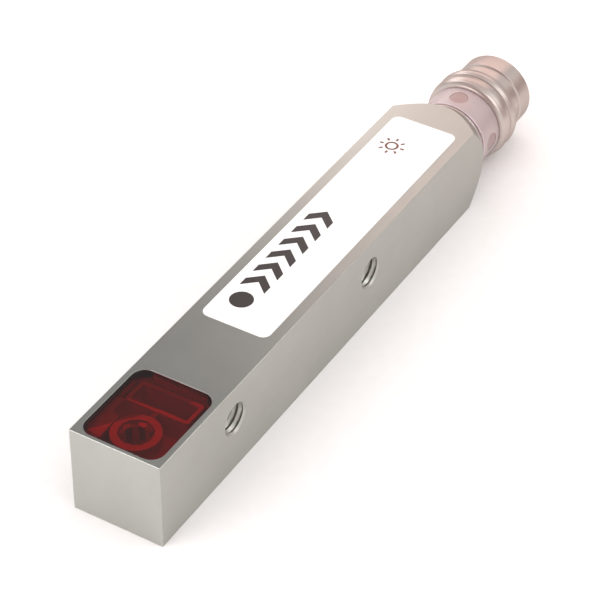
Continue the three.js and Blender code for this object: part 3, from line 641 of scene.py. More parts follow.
def thread_tree():
    """The skin of a thread along Y: a sheet wrapped into a tube whose radius follows a helix. The zigzag is
    stretched a little past 0 and 1 and held there, which leaves narrow flats on the crests and roots."""
    stretch, shift = 1.15, -0.1
    inputs = {
        "Core Radius": "Float", "Root Radius": "Float", "Pitch": "Float", "Length": "Float",
        "Sides": "Int", "Rows": "Int", "Material": "Material",
    }
    t = Tree("Thread", inputs)
    across = t.math("ADD", t.given["Sides"], 1)
    sheet = t.node("GeometryNodeMeshGrid", Size_X=1.0, Size_Y=1.0, Vertices_X=across, Vertices_Y=t.given["Rows"])
    split = t.node("ShaderNodeSeparateXYZ", Vector=t.node("GeometryNodeInputPosition").outputs[0])
    around = t.math("ADD", split.outputs["X"], 0.5)
    along = t.math("MULTIPLY", split.outputs["Y"], t.given["Length"])
    phase = t.math("FRACT", t.math("ADD", t.math("DIVIDE", along, t.given["Pitch"]), around))
    zigzag = t.math("ABSOLUTE", t.math("SUBTRACT", t.math("MULTIPLY", phase, 2.0), 1.0))
    height = t.math("MULTIPLY_ADD", zigzag, stretch, shift, clamp=True)
    depth = t.math("SUBTRACT", t.given["Root Radius"], t.given["Core Radius"])
    radius = t.math("MULTIPLY_ADD", height, depth, t.given["Core Radius"])
    turn = t.math("MULTIPLY", around, FULL_TURN)
    place_on_helix = t.node(
        "ShaderNodeCombineXYZ",
        X=t.math("MULTIPLY", radius, t.math("COSINE", turn)),
        Y=along,
        Z=t.math("MULTIPLY", radius, t.math("SINE", turn)),
    )
    wrapped = t.node("GeometryNodeSetPosition", Geometry=sheet.outputs[0], Position=place_on_helix.outputs[0])
    closed = t.node("GeometryNodeMergeByDistance", Geometry=wrapped.outputs[0], Distance=0.002 * MM)
    t.finish(closed.outputs[0])


def tap(name, x, z, sizes):
    """A closed threaded rod across the bar, for cutting a tapped hole."""
    helix_start = -0.4 * sizes.pitch
    reach = 2 * HALF_BAR + 2 * OVERCUT
    turns = math.ceil(reach / sizes.pitch)
    values = {
        "Core Radius": sizes.core_radius,
        "Root Radius": sizes.root_radius,
        "Pitch": sizes.pitch,
        "Length": turns * sizes.pitch,
        "Sides": sizes.sides,
        "Rows": turns * sizes.rows + 1,
    }
    skin = grow(name, "Thread", "Cut Thread", values)
    bm = bmesh.new()
    bm.from_mesh(skin.data)
    bmesh.ops.holes_fill(bm, edges=[edge for edge in bm.edges if edge.is_boundary])
    bmesh.ops.translate(bm, verts=bm.verts, vec=(x, helix_start, z))
    bmesh.ops.recalc_face_normals(bm, faces=bm.faces)
    bm.to_mesh(skin.data)
    bm.free()
    return skin


# ---------------------------------------------------------------------------------------------------------
# Finishes
# ---------------------------------------------------------------------------------------------------------


class Finish(Nodes):
    """A procedural material around one Principled shader, drawn in Object coordinates."""

    def __init__(self, name, **settings):
        self.material = bpy.data.materials.new(name)
        self.material.use_nodes = True
        super().__init__(self.material.node_tree)
        self.shader = self.tree.nodes["Principled BSDF"]
        self.coordinates = self.node("ShaderNodeTexCoord").outputs["Object"]
        for label, value in settings.items():
            self.shader.inputs[label.replace("_", " ")].default_value = value

    def noise(self, scale, detail=3.0, roughness=0.5, stretch=(1, 1, 1)):
        """Noise, stretched along axes: a smaller number draws it out further."""
        mapping = self.node("ShaderNodeMapping", Vector=self.coordinates, Scale=stretch)
        texture = self.node(
            "ShaderNodeTexNoise", Vector=mapping.outputs[0], Scale=scale, Detail=detail, Roughness=roughness
        )
        return texture.outputs["Fac"]

    def tint(self, source, dark, light):
        """A colour between two, by a noise."""
        factor = self.spread(source, *NOISE_RANGE)
        self.feed(self.shader.inputs["Base Color"], self.blend(factor, dark, light))

    def along(self, axis, start, end, middle=None):
        """From 0 to 1 as the place on an axis, or its distance from a middle, runs from start to end."""
        value = self.node("ShaderNodeSeparateXYZ", Vector=self.coordinates).outputs[axis]
        if middle is not None:
            value = self.math("ABSOLUTE", self.math("SUBTRACT", value, middle))
        return self.spread(value, start, end)

    def over(self, factor, rgb):
        """Lays a second colour over the first, by a factor from 0 to 1."""
        base = self.shader.inputs["Base Color"]
        self.feed(base, self.blend(factor, base.links[0].from_socket, rgb))

    def gloss(self, source, low, high):
        """Roughness between two numbers, by a noise."""
        self.feed(self.shader.inputs["Roughness"], self.spread(source, *NOISE_RANGE, low, high))

    def bump(self, *sources):
        """Fine relief from (source, height in metres) pairs, one on top of the other."""
        normal = None
        for source, height in sources:
            node = self.node("ShaderNodeBump", Distance=height, Height=source)
            if normal:
                self.feed(node.inputs["Normal"], normal)
            normal = node.outputs[0]
        self.feed(self.shader.inputs["Normal"], normal)


def shades(rgb, spread):
    """A darker and a lighter version of a colour."""
    return [min(c * (1 - spread), 1) for c in rgb], [min(c * (1 + spread), 1) for c in rgb]


def satin_metal(name, rgb, roughness):
    """Plated metal, ground along the bar and then blasted to a satin. It is duller at a glancing angle."""
    finish = Finish(name, Metallic=1.0, Specular_Tint=(0.76, 0.72, 0.7, 1))
    cloud = finish.noise(180, 4, 0.6)
    grain = finish.noise(9000, 2)
    strokes = finish.noise(5200, 3, 0.6, stretch=(0.03, 1, 1))
    finish.tint(cloud, *shades(rgb, 0.035))
    finish.gloss(strokes, roughness - 0.035, roughness + 0.045)
    finish.bump((strokes, 0.00045 * MM), (grain, 0.0004 * MM))


def turned_metal(name, rgb, roughness):
    """Plated metal with the fine rings that a lathe leaves."""
    finish = Finish(name, Metallic=1.0, Specular_Tint=(0.6, 0.57, 0.55, 1))
    cloud = finish.noise(260, 4, 0.6)
    rings = finish.noise(6500, 3, 0.65, stretch=(1, 0.012, 0.012))
    grain = finish.noise(8000, 2)
    finish.tint(cloud, *shades(rgb, 0.05))
    finish.gloss(rings, roughness - 0.05, roughness + 0.06)
    finish.bump((rings, 0.001 * MM), (grain, 0.0003 * MM))


def moulded(name, rgb, roughness, grain_height=0.002 * MM, **settings):
    """Moulded plastic or rubber with a fine grain."""
    finish = Finish(name, **settings)
    grain = finish.noise(5000, 3, 0.55)
    cloud = finish.noise(350)
    finish.tint(cloud, *shades(rgb, 0.08))
    finish.gloss(grain, roughness - 0.06, roughness + 0.08)
    finish.bump((grain, grain_height))
    return finish


def optics_moulding(name, rgb, painted_light_rgb):
    """Glossy moulded plastic, painted paler towards its foot as painted light against the shade deep behind the
    window.
    """
    finish = moulded(name, rgb, 0.18, 0.0008 * MM)
    top, foot = CARRIER_HIGH.z - 0.1 * MM, CARRIER_HIGH.z - 2.5 * MM
    # Painted light: a paler colour towards the foot, against the shade deep behind the window
    finish.over(finish.along("Z", top, foot), painted_light_rgb)


def printed_film(name, rgb):
    """Satin film, with the faint orange peel of its varnish."""
    finish = Finish(name, IOR=1.45)
    peel = finish.noise(1600, 2, 0.4)
    fibre = finish.noise(7000, 4, 0.6)
    finish.tint(fibre, *shades(rgb, 0.012))
    finish.gloss(peel, 0.38, 0.5)
    finish.bump((peel, 0.0012 * MM), (fibre, 0.0005 * MM))


def ink(name, rgb):
    """Printed ink, a little uneven where the screen held it."""
    finish = Finish(name)
    cover = finish.noise(6000, 3, 0.6)
    finish.tint(cover, *shades(rgb, 0.18))
    finish.gloss(cover, 0.35, 0.5)
    finish.bump((cover, 0.0008 * MM))


def filter_pane(name, rgb):
    """Dark red filter plastic: a gloss over tinted, clear plastic that lamps shine through."""
    finish = Finish(name, Base_Color=(0, 0, 0, 1), IOR=1.49)
    wisps = finish.noise(500)
    finish.gloss(wisps, 0.03, 0.07)
    clear = finish.node("ShaderNodeBsdfTransparent", Color=finish.blend(wisps, *shades(rgb, 0.05)))
    both = finish.node("ShaderNodeAddShader")
    finish.feed(both.inputs[0], clear.outputs[0])
    finish.feed(both.inputs[1], finish.shader.outputs[0])
    finish.feed(finish.tree.nodes["Material Output"].inputs["Surface"], both.outputs[0])


def frosted(name, rgb, rim_glow_rgb, roughness):
    """Frosted ring plastic over bright metal, with a painted glow on its two ends, where light leaves it."""
    finish = Finish(name, Subsurface_Weight=0.15, Subsurface_Scale=0.6 * MM, Metallic=0.45, IOR=1.5)
    frost = finish.noise(9000, 2, 0.6)
    finish.tint(frost, *shades(rgb, 0.07))
    half = (RING_HIGH.x - RING_LOW.x) / 2
    middle = (RING_HIGH.x + RING_LOW.x) / 2
    rim_width, rim_fade = 0.04 * MM, 0.12 * MM
    # Painted glow: a paler colour laid over both ends of the ring
    finish.over(finish.along("X", half - rim_width - rim_fade, half - rim_width, middle), rim_glow_rgb)
    finish.gloss(frost, roughness - 0.06, roughness + 0.1)
    finish.bump((frost, 0.006 * MM))


def clear_plastic(name, rgb):
    """Clear moulded lens."""
    finish = Finish(name, Transmission_Weight=1.0, IOR=1.5)
    flow = finish.noise(700, 2, 0.4)
    finish.tint(flow, *shades(rgb, 0.02))
    finish.gloss(flow, 0.03, 0.09)


def circuit_board(name):
    """Green solder mask over copper tracks that run along the board."""
    finish = Finish(name, Specular_IOR_Level=0.5)
    flat = finish.node("ShaderNodeMapping", Vector=finish.coordinates, Scale=(1, 1, 0))
    tracks = finish.node(
        "ShaderNodeTexBrick",
        Vector=flat.outputs[0],
        Color1=(0.012, 0.085, 0.035, 1),
        Color2=(0.014, 0.1, 0.04, 1),
        Mortar=(0.03, 0.17, 0.06, 1),
        Scale=320,
        Mortar_Size=0.12,
        Mortar_Smooth=0.3,
    )
    finish.feed(finish.shader.inputs["Base Color"], tracks.outputs["Color"])
    weave = finish.noise(4000, 2)
    finish.gloss(weave, 0.28, 0.4)
    finish.bump((tracks.outputs["Fac"], 0.02 * MM), (weave, 0.002 * MM))


# ---------------------------------------------------------------------------------------------------------
# Operators
# ---------------------------------------------------------------------------------------------------------


class SENSOR_OT_finishes(bpy.types.Operator):
    """Make every finish and every node tree that the pieces share"""

    bl_idname = "sensor.finishes"
    bl_label = "Finishes"

    def execute(self, context):
        rgb = context.scene.sensor_finishes
        satin_metal("Satin Metal", rgb.bar_metal, 0.36)
        satin_metal("Cut Thread", rgb.cut_metal, 0.42)
        turned_metal("Turned Metal", rgb.plug_metal, 0.36)
        filter_pane("Red Filter", rgb.pane_red)
        moulded("Seal Rubber", (0.012, 0.012, 0.012), 0.65)
        printed_film("Label Film", rgb.film_white)
        ink("Dark Ink", rgb.ink_dark)
        ink("Brown Ink", rgb.ink_brown)
        optics_moulding("Optics Moulding", rgb.moulding, rgb.moulding_painted_light)
        # Painted reflection: bright metal for every other facet inside the emitter's barrel, making stripes like
        # reflections
        turned_metal("Reflector", (0.72, 0.7, 0.7), 0.2)
        moulded("Contact Moulding", (0.02, 0.02, 0.022), 0.45)
        clear_plastic("Lens Plastic", (0.95, 0.97, 0.98))
        frosted("Ring Frost", rgb.ring_frost, rgb.ring_rim_glow, 0.42)
        moulded("Pipe Plastic", rgb.pipe_red, 0.4, Metallic=0.45)
        moulded("Lamp Plastic", (0.75, 0.72, 0.62), 0.3)
        moulded("Receiver Resin", (0.03, 0.03, 0.06), 0.15, 0.0005 * MM)
        circuit_board("Solder Mask")
        moulded("Package Resin", (0.02, 0.02, 0.021), 0.5)
        turned_metal("Plated Can", (0.62, 0.62, 0.6), 0.28)
        moulded("Capacitor Ceramic", (0.4, 0.26, 0.13), 0.4)
        moulded("Resistor Glaze", (0.02, 0.018, 0.018), 0.3)
        turned_metal("Gold Plate", rgb.gold, 0.2)
        turned_metal("Solder Tin", (0.66, 0.65, 0.63), 0.22)
        moulded("Potting Resin", (0.035, 0.025, 0.02), 0.3, 0.004 * MM)
        moulded("Brown Insulation", (0.16, 0.06, 0.025), 0.4)
        moulded("Blue Insulation", (0.02, 0.07, 0.35), 0.4)
        moulded("Black Insulation", (0.015, 0.015, 0.016), 0.4)
        ring_of_copies_tree()
        row_of_copies_tree()
        thread_tree()
        return {"FINISHED"}


class SENSOR_OT_housing(bpy.types.Operator):
    """Make the bar with its cone, window opening, cavity, bore and tapped holes"""

    bl_idname = "sensor.housing"
    bl_label = "Housing"

    def execute(self, context):
        s = context.scene.sensor_bar
        thread = context.scene.sensor_thread
        bar = self.bar(s)
        hole_z = BAR_HIGH.z - s.hole_drop
        hole_xs = [FRONT_X + s.hole_inset, FRONT_X + s.hole_inset + s.hole_pitch]
        cavity_y = HALF_BAR - s.window_rim - s.shoulder
        pocket_y = HALF_BAR - s.window_rim
        cavity_xs = (COVER_LOW.x - SINK, COVER_HIGH.x + SINK)
        seat_z = BAR_HIGH.z - s.roof
        cavity = box("cavity", (cavity_xs[0], -cavity_y, -OVERCUT), (cavity_xs[1], cavity_y, seat_z))
        pocket = box("pocket", (cavity_xs[0], -pocket_y, -OVERCUT), (cavity_xs[1], pocket_y, BOARD_TOP))
        throat_x = PANE_HIGH.x - 2 * SINK
        throat = box("throat", (cavity_xs[0], -cavity_y, seat_z - SINK), (throat_x, cavity_y, seat_z + SINK))
        bore = rod("bore", (cavity_xs[1] - OVERCUT, BAR_END_X + OVERCUT), s.bore_radius, 96)
        bosses = []
        taps = []
        for x in hole_xs:
            inner = HALF_BAR - SINK
            bosses.append(cross_rod("boss", x, hole_z, (-inner, inner), (s.boss_radius,) * 2))
            taps.append(tap("tap", x, hole_z, thread))
            taps += self.countersinks(x, hole_z, thread)
        two_finishes(bar, taps, "Satin Metal", "Cut Thread")
        housing = carve(
            bar, *cut(cavity, pocket, throat, self.opening(s, seat_z), bore), *add(*bosses), *cut(*taps)
        )
        housing.name = "housing_body"
        finished(shade(housing), None, ["housing"])
        return {"FINISHED"}

    def bar(self, s):
        """The square bar, with broken edges and a turned cone at its end."""
        b = s.edge_break
        half = HALF_BAR

        def section(x, inset):
            edge = half - inset
            loop = []
            for y_side, z_side in ((1, -1), (1, 1), (-1, 1), (-1, -1)):
                pair = [(edge - b, edge), (edge, edge - b)]
                if y_side == z_side:
                    pair.reverse()
                loop += [(x, y_side * y, AXIS_Z + z_side * z) for y, z in pair]
            return loop

        bar = loft("bar", [section(FRONT_X, b), section(FRONT_X + b, 0), section(BAR_END_X, 0)])
        slope = s.cone_run / (half * (math.sqrt(2) - 1))
        wide = half * 2
        flats_x = FRONT_X + s.flat_length
        outline = [
            (FRONT_X - OVERCUT, 0),
            (FRONT_X - OVERCUT, wide),
            (flats_x - (wide - half) * slope, wide),
            (BAR_END_X - b / 2, s.end_radius + b / 2 / slope),
            (BAR_END_X, s.end_radius - b / 2),
            (BAR_END_X, 0),
        ]
        cone = turned("cone", outline, 192, (0, AXIS_Z))
        return carve(bar, ("INTERSECT", cone))

    def opening(self, s, seat_z):
        """The cutter for the window's opening, flared a little at the face. It is centred on the pane."""
        start_x = FRONT_X + s.window_inset
        xs = (start_x, PANE_HIGH.x + PANE_LOW.x - start_x)
        half = HALF_BAR - s.window_rim
        flare = 0.015 * MM
        low = slab("opening", xs, (-half, half), (seat_z, BAR_HIGH.z + OVERCUT), s.window_corner, steps=12)
        wide_xs = (xs[0] - flare, xs[1] + flare)
        wide_ys = (-half - flare, half + flare)
        wide_zs = (BAR_HIGH.z - flare, BAR_HIGH.z + OVERCUT)
        high = slab("flare", wide_xs, wide_ys, wide_zs, s.window_corner + flare, flare, steps=12)
        return carve(low, *add(high))

    def countersinks(self, x, z, thread):
        """The cutters that open a tapped hole's two mouths."""
        sunk = thread.mouth_radius - thread.core_radius
        past = 0.2 * MM
        tools = []
        for side in (-1, 1):
            ys = (side * (HALF_BAR - sunk), side * (HALF_BAR + past))
            radii = (thread.core_radius, thread.mouth_radius + past)
            tools.append(cross_rod("countersink", x, z, ys, radii, 72))
        return tools


class SENSOR_OT_cover(bpy.types.Operator):
    """Make the plate that closes the underside"""

    bl_idname = "sensor.cover"
    bl_label = "Base Cover"

    def execute(self, context):
        thickness = 0.6 * MM
        rail = 0.45 * MM
        edge, corner = 0.04 * MM, 0.05 * MM
        xs, ys, zs = spans(COVER_LOW, COVER_HIGH)
        plate = slab("base_plate", xs, ys, zs, corner, edge, steps=3)
        low = (xs[0] - OVERCUT, ys[0] + rail, zs[0] + thickness)
        high = (xs[1] + OVERCUT, ys[1] - rail, zs[1] + OVERCUT)
        carve(plate, *cut(box("trough", low, high)))
        finished(shade(plate), "Satin Metal", ["base_cover"])
        return {"FINISHED"}


class SENSOR_OT_window(bpy.types.Operator):
    """Make the red pane and the black seal around it"""

    bl_idname = "sensor.window"
    bl_label = "Window"

    def execute(self, context):
        s = context.scene.sensor_bar
        corner = s.window_corner
        edge = 0.04 * MM
        bead = 0.14 * MM
        reach = HALF_BAR - s.window_rim
        xs = (SEAL_LOW.x + FIT, SEAL_HIGH.x - FIT)
        ys = (FIT - reach, reach - bead)
        pane = slab("window_pane", xs, ys, (PANE_LOW.z, PANE_HIGH.z), corner - FIT, edge, edge, steps=12)
        finished(shade(pane), "Red Filter", ["window"])

        seal_xs, seal_ys, zs = spans(SEAL_LOW, SEAL_HIGH)
        cut_zs = (zs[0] - OVERCUT, zs[1] + OVERCUT)
        seal = slab("window_bead", seal_xs, seal_ys, zs, corner, 0, edge / 2, steps=12)
        hole_xs = (PANE_LOW.x - FIT, PANE_HIGH.x + FIT)
        hole_ys = (PANE_LOW.y - FIT, PANE_HIGH.y + FIT)
        pane_hole = slab("pane_hole", hole_xs, hole_ys, cut_zs, corner, steps=12)
        # What is left of the bead lies along the +Y edge and in the two corners nearest the label
        near_low = (seal_xs[0] - OVERCUT, -corner * 0.6 - OVERCUT, cut_zs[0])
        near = box("near", near_low, (seal_xs[1] - corner * 0.8, reach - corner * 0.6, cut_zs[1]))
        far_low = (seal_xs[1] - corner, corner * 0.7 - reach, cut_zs[0])
        far = box("far", far_low, (seal_xs[1] + OVERCUT, reach - corner, cut_zs[1]))
        carve(seal, *cut(pane_hole, near, far, self.under_pane(xs, ys, zs, corner - FIT)))
        finished(shade(seal), "Seal Rubber", ["window_seal"])
        return {"FINISHED"}

    def under_pane(self, xs, ys, zs, corner):
        """What the pane itself fills, so that the bead stays clear of it."""
        gap = 0.01 * MM
        grown_xs = (xs[0] - gap, xs[1] + gap)
        grown_ys = (ys[0] - gap, ys[1] + gap)
        return slab("pane_space", grown_xs, grown_ys, (PANE_LOW.z - gap, zs[1] + OVERCUT), corner + gap, steps=12)


class SENSOR_OT_optics(bpy.types.Operator):
    """Make the moulding and the lenses behind the window"""

    bl_idname = "sensor.optics"
    bl_label = "Optics"

    def execute(self, context):
        s = context.scene.sensor_optics
        barrel_x = FRONT_X + s.barrel_inset
        chamber_xs = (
            CARRIER_HIGH.x - s.chamber_back_wall - s.chamber_length,
            CARRIER_HIGH.x - s.chamber_back_wall,
        )
        carrier = self.carrier(s, barrel_x, chamber_xs)
        finished(shade(carrier), None, ["optics_carrier"])
        finished(shade(self.round_lens(s, barrel_x)), "Lens Plastic", ["emitter_lens"])
        finished(shade(self.long_lens(s, chamber_xs)), "Lens Plastic", ["receiver_lens"])
        return {"FINISHED"}

    def carrier(self, s, barrel_x, chamber_xs):
        """The moulding: a solid lower half with a barrel, a chamber, a ledge, a low shelf and a rim on it."""
        x0, x1 = CARRIER_LOW.x, CARRIER_HIGH.x
        half = CARRIER_HIGH.y
        top = CARRIER_HIGH.z
        low = CARRIER_LOW.z + s.base_height - SINK
        below, above = CARRIER_LOW.z - OVERCUT, top + OVERCUT
        edge = 0.04 * MM
        wall_x = chamber_xs[0] - s.chamber_wall
        wall_y = s.chamber_width / 2 + s.chamber_wall
        rib_y = s.rib_width / 2
        rib_top = top - 0.15 * MM
        shelf_zs = (low, top - s.step_drop)
        hollow_xs = (barrel_x + 0.9 * MM, wall_x)
        hollow_ys = (0, half - s.ledge_width / 3)

        base = slab("optics_moulding", (x0, x1), (-half, half), (CARRIER_LOW.z, low + SINK), 0.2 * MM)
        ledge = slab("ledge", (x0, wall_x + SINK), (half - s.ledge_width, half), (low, top), 0.15 * MM, 0, edge)
        hollow = slab("hollow", hollow_xs, hollow_ys, (low, above), 0.65 * MM)
        barrel = post("barrel", barrel_x, (low, top), s.barrel_radius, edge, 96)
        chamber = slab("chamber", (wall_x, x1), (-wall_y, wall_y), (low, top), 0.3 * MM, 0, edge)
        shelf_xs, shelf_ys = (x0, x0 + s.step_length), (-half, s.barrel_radius - half)
        shelf = slab("shelf", shelf_xs, shelf_ys, shelf_zs, 0.12 * MM, 0, edge)
        rib = box("rib", (barrel_x, -rib_y, low), (wall_x + SINK, rib_y, rib_top))

        bore = post("bore", barrel_x, (below, above), s.bore_radius, 0, s.bore_facets)
        mouth = post("mouth", barrel_x, (top - s.mouth_depth, above), s.mouth_radius, 0, s.bore_facets)
        # Painted reflection: every other facet of the bore and mouth is bright metal, so the barrel shows striped
        # reflections
        two_finishes(base, (bore, mouth), "Optics Moulding", "Reflector", every=2)
        well_ys = (-s.chamber_width / 2, s.chamber_width / 2)
        well = slab("well", chamber_xs, well_ys, (below, above), 0.22 * MM)
        reach = s.lens_seat + FIT
        seat_xs = (chamber_xs[0] - reach, chamber_xs[1] + reach)
        seat_ys = (well_ys[0] - reach, well_ys[1] + reach)
        seat_zs = (ROUND_LENS_LOW.z - FIT, ROUND_LENS_LOW.z + s.lens_edge + FIT)
        round_seat = post("round_seat", barrel_x, seat_zs, s.bore_radius + reach)
        long_seat = slab("long_seat", seat_xs, seat_ys, seat_zs, 0.1 * MM)
        return carve(
            base,
            *add(ledge),
            *cut(hollow),
            *add(barrel, chamber, shelf, rib, self.tub(s, wall_x)),
            *cut(bore, mouth, well, round_seat, long_seat),
        )

    def tub(self, s, wall_x):
        """The rim that closes the space under the window, with a floor on the chamber's side only."""
        top = CARRIER_HIGH.z
        outer_y = CARRIER_HIGH.y + SINK
        inner_y = outer_y - s.tub_wall
        floor = 0.1 * MM
        xs = (FRONT_X + s.tub_inset, PANE_HIGH.x - s.tub_inset / 4)
        zs = (top - s.tub_depth, top - 0.03 * MM)
        tub = slab("tub", xs, (-outer_y, outer_y), zs, 1.1 * MM, steps=12)
        inside_xs = (xs[0] + s.tub_wall, xs[1] - s.tub_wall)
        inside_zs = (zs[0] + floor, top + OVERCUT)
        inside = slab("inside", inside_xs, (-inner_y, inner_y), inside_zs, 0.98 * MM, steps=12)
        open_low = (CARRIER_LOW.x - OVERCUT, -outer_y - OVERCUT, zs[0] - OVERCUT)
        open_side = box("open_side", open_low, (wall_x, inner_y, top))
        return carve(tub, *cut(inside, open_side))

    def round_lens(self, s, barrel_x):
        """A domed lens on a flat foot."""
        foot_z = ROUND_LENS_LOW.z
        edge_z = foot_z + s.lens_edge
        crown = ROUND_LENS_HIGH.z - edge_z
        dome = s.bore_radius - LENS_MARGIN
        foot = s.bore_radius + s.lens_seat
        outline = [(foot_z, 0), (foot_z, foot), (edge_z, foot)]
        steps = 12
        for i in range(steps + 1):
            turn = i / steps * QUARTER_TURN
            outline.append((edge_z + crown * math.sin(turn), dome * math.cos(turn) if i < steps else 0))
        return turned("round_lens", outline, 72, (barrel_x, 0), upright=True)

    def long_lens(self, s, chamber_xs):
        """A lens that is crowned along the bar and runs across it."""
        middle = (chamber_xs[0] + chamber_xs[1]) / 2
        half = (chamber_xs[1] - chamber_xs[0]) / 2 - LENS_MARGIN
        end_y = s.chamber_width / 2 - LENS_MARGIN
        edge_z = LONG_LENS_LOW.z + s.lens_edge
        crown = LONG_LENS_HIGH.z - edge_z
        steps = 20
        arc = [i / steps * math.pi for i in range(steps + 1)]
        rings = []
        for y in (-end_y, end_y):
            ring = [(middle + half * math.cos(a), y, edge_z + crown * math.sin(a)) for a in arc]
            rings.append([(middle + half, y, edge_z - SINK), *ring, (middle - half, y, edge_z - SINK)])
        foot = box("foot", LONG_LENS_LOW, (LONG_LENS_HIGH.x, LONG_LENS_HIGH.y, edge_z))
        return carve(loft("long_lens", rings), *add(foot))


class SENSOR_OT_plug(bpy.types.Operator):
    """Make the turned plug body"""

    bl_idname = "sensor.plug"
    bl_label = "Plug Body"

    def execute(self, context):
        s = context.scene.sensor_plug
        shell = turned("plug_body", self.outline(s), s.segments, (0, AXIS_Z))
        carve(shell, *cut(*pipe_holes(s.seat_radius + OVERCUT / 4, PIPE_RADIUS + FIT)))
        finished(shade(shell), "Turned Metal", ["plug_shell"])
        return {"FINISHED"}

    def outline(self, s):
        """The plug body's section, from the tail's bore, out and along to the rim, and back inside."""
        tail, rim = SHELL_LOW.x, SHELL_HIGH.x
        collar = BAR_END_X
        step = collar + 0.2 * MM
        groove = collar - s.groove_back
        groove_end = groove + s.groove_width
        groove_r = s.tail_radius - s.groove_depth
        ring = RING_LOW.x - SINK
        shoulder = ring - 0.04 * MM
        shoulder_r = s.seat_radius + 0.32 * MM
        ridge = RING_HIGH.x + SINK
        vee = ridge + s.first_ridge
        neck = vee + s.second_ridge
        lip = neck + s.neck_length
        slope = s.lip_radius - s.neck_radius
        chamber = collar + 0.15 * MM
        small, edge, round_edge = 0.03 * MM, 0.06 * MM, 0.12 * MM
        corners = [
            (tail, s.tail_bore, small),
            (tail, s.tail_radius, round_edge),
            (groove, s.tail_radius, small),
            (groove, groove_r, small),
            (groove_end, groove_r, small),
            (groove_end, s.tail_radius, small),
            (step, s.tail_radius, 0),
            (step, s.collar_radius, round_edge),
            (shoulder, s.collar_radius, round_edge),
            (shoulder, shoulder_r, 0),
            (ring, shoulder_r, 0),
            (ring, s.seat_radius, 0),
            (ridge, s.seat_radius, 0),
            (ridge, s.foot_radius, small),
            *self.flank(s, ridge, s.lead_in, s.foot_radius, True)[1:],
            *self.crown(s, ridge + s.lead_in, vee - s.vee_half_width),
            *self.flank(s, vee - s.vee_half_width, s.vee_half_width, s.vee_radius, False),
            *self.flank(s, vee, s.vee_half_width, s.vee_radius, True)[1:],
            *self.crown(s, vee + s.vee_half_width, neck - s.fall),
            *self.flank(s, neck - s.fall, s.fall, s.neck_radius, False)[:-1],
            (neck, s.neck_radius, 0),
            (lip - slope, s.neck_radius, edge),
            (lip, s.lip_radius, edge),
            (rim, s.lip_radius, round_edge + edge),
            (rim, s.socket_radius, round_edge),
            (CONTACT_LOW.x, s.socket_radius, 0),
            (CONTACT_LOW.x, s.chamber_radius, 0),
            (chamber, s.chamber_radius, 0),
            (chamber, s.tail_bore, 0),
        ]
        return rounded_outline(corners)

    def flank(self, s, x, run, low, rising):
        """A quarter-elliptic side of a ridge."""
        steps = 10
        rise = s.ridge_radius - s.ridge_crown - low
        points = []
        for i in range(steps + 1):
            turn = i / steps * QUARTER_TURN
            ahead, up = (1 - math.cos(turn), math.sin(turn)) if rising else (math.sin(turn), math.cos(turn))
            points.append((x + run * ahead, low + rise * up, 0))
        return points

    def crown(self, s, start, end):
        """The gently rounded top between a ridge's two sides."""
        steps = 8
        points = []
        for i in range(1, steps):
            across = 2 * i / steps - 1
            points.append((start + (end - start) * i / steps, s.ridge_radius - s.ridge_crown * across**2, 0))
        return points


class SENSOR_OT_lights(bpy.types.Operator):
    """Make the frosted ring with its four light pipes and four lamps"""

    bl_idname = "sensor.lights"
    bl_label = "Status Lights"

    def execute(self, context):
        s = context.scene.sensor_plug
        inner_r, outer_r = s.seat_radius + FIT, RING_HIGH.y
        reach = outer_r + OVERCUT
        edge = 0.09 * MM
        corners = [
            (RING_LOW.x, inner_r, 0),
            (RING_LOW.x, outer_r, edge),
            (RING_HIGH.x, outer_r, edge),
            (RING_HIGH.x, inner_r, 0),
        ]
        ring = turned("frosted_ring", rounded_outline(corners), s.segments, (0, AXIS_Z))
        carve(ring, *cut(*pipe_holes(reach, PIPE_RADIUS + FIT)))
        finished(shade(ring), "Ring Frost", ["light_ring"])

        around = {"count": 4, "axis": (1.0, 0.0, 0.0), "centre": (0.0, 0.0, AXIS_Z)}
        numbers = range(1, 5)
        pipe = post("pipe", PIPE_X, (0, reach), PIPE_RADIUS)
        pipe_xs = (PIPE_X - reach, PIPE_X + reach)
        outside = rod("outside", pipe_xs, PIPE_HIGH.z - AXIS_Z, 160, (0, 0))
        inside = rod("inside", pipe_xs, s.chamber_radius + 0.05 * MM, 96, (0, 0))
        carve(pipe, ("INTERSECT", outside), *cut(inside))
        pipes = ring_of("light_pipes", pipe, material="Pipe Plastic", **around)
        finished(shade(pipes), None, [f"light_pipe_{i}" for i in numbers])

        xs, ys, zs = spans(*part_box("status_led_1"))
        zs = [z - AXIS_Z for z in zs]
        corner, low_edge, high_edge = 0.12 * MM, 0.02 * MM, 0.08 * MM
        lamp = slab("lamp", xs, ys, zs, corner, low_edge, high_edge, steps=4)
        lamps = ring_of("status_lamps", lamp, material="Lamp Plastic", **around)
        finished(shade(lamps), None, [f"status_led_{i}" for i in numbers])
        return {"FINISHED"}


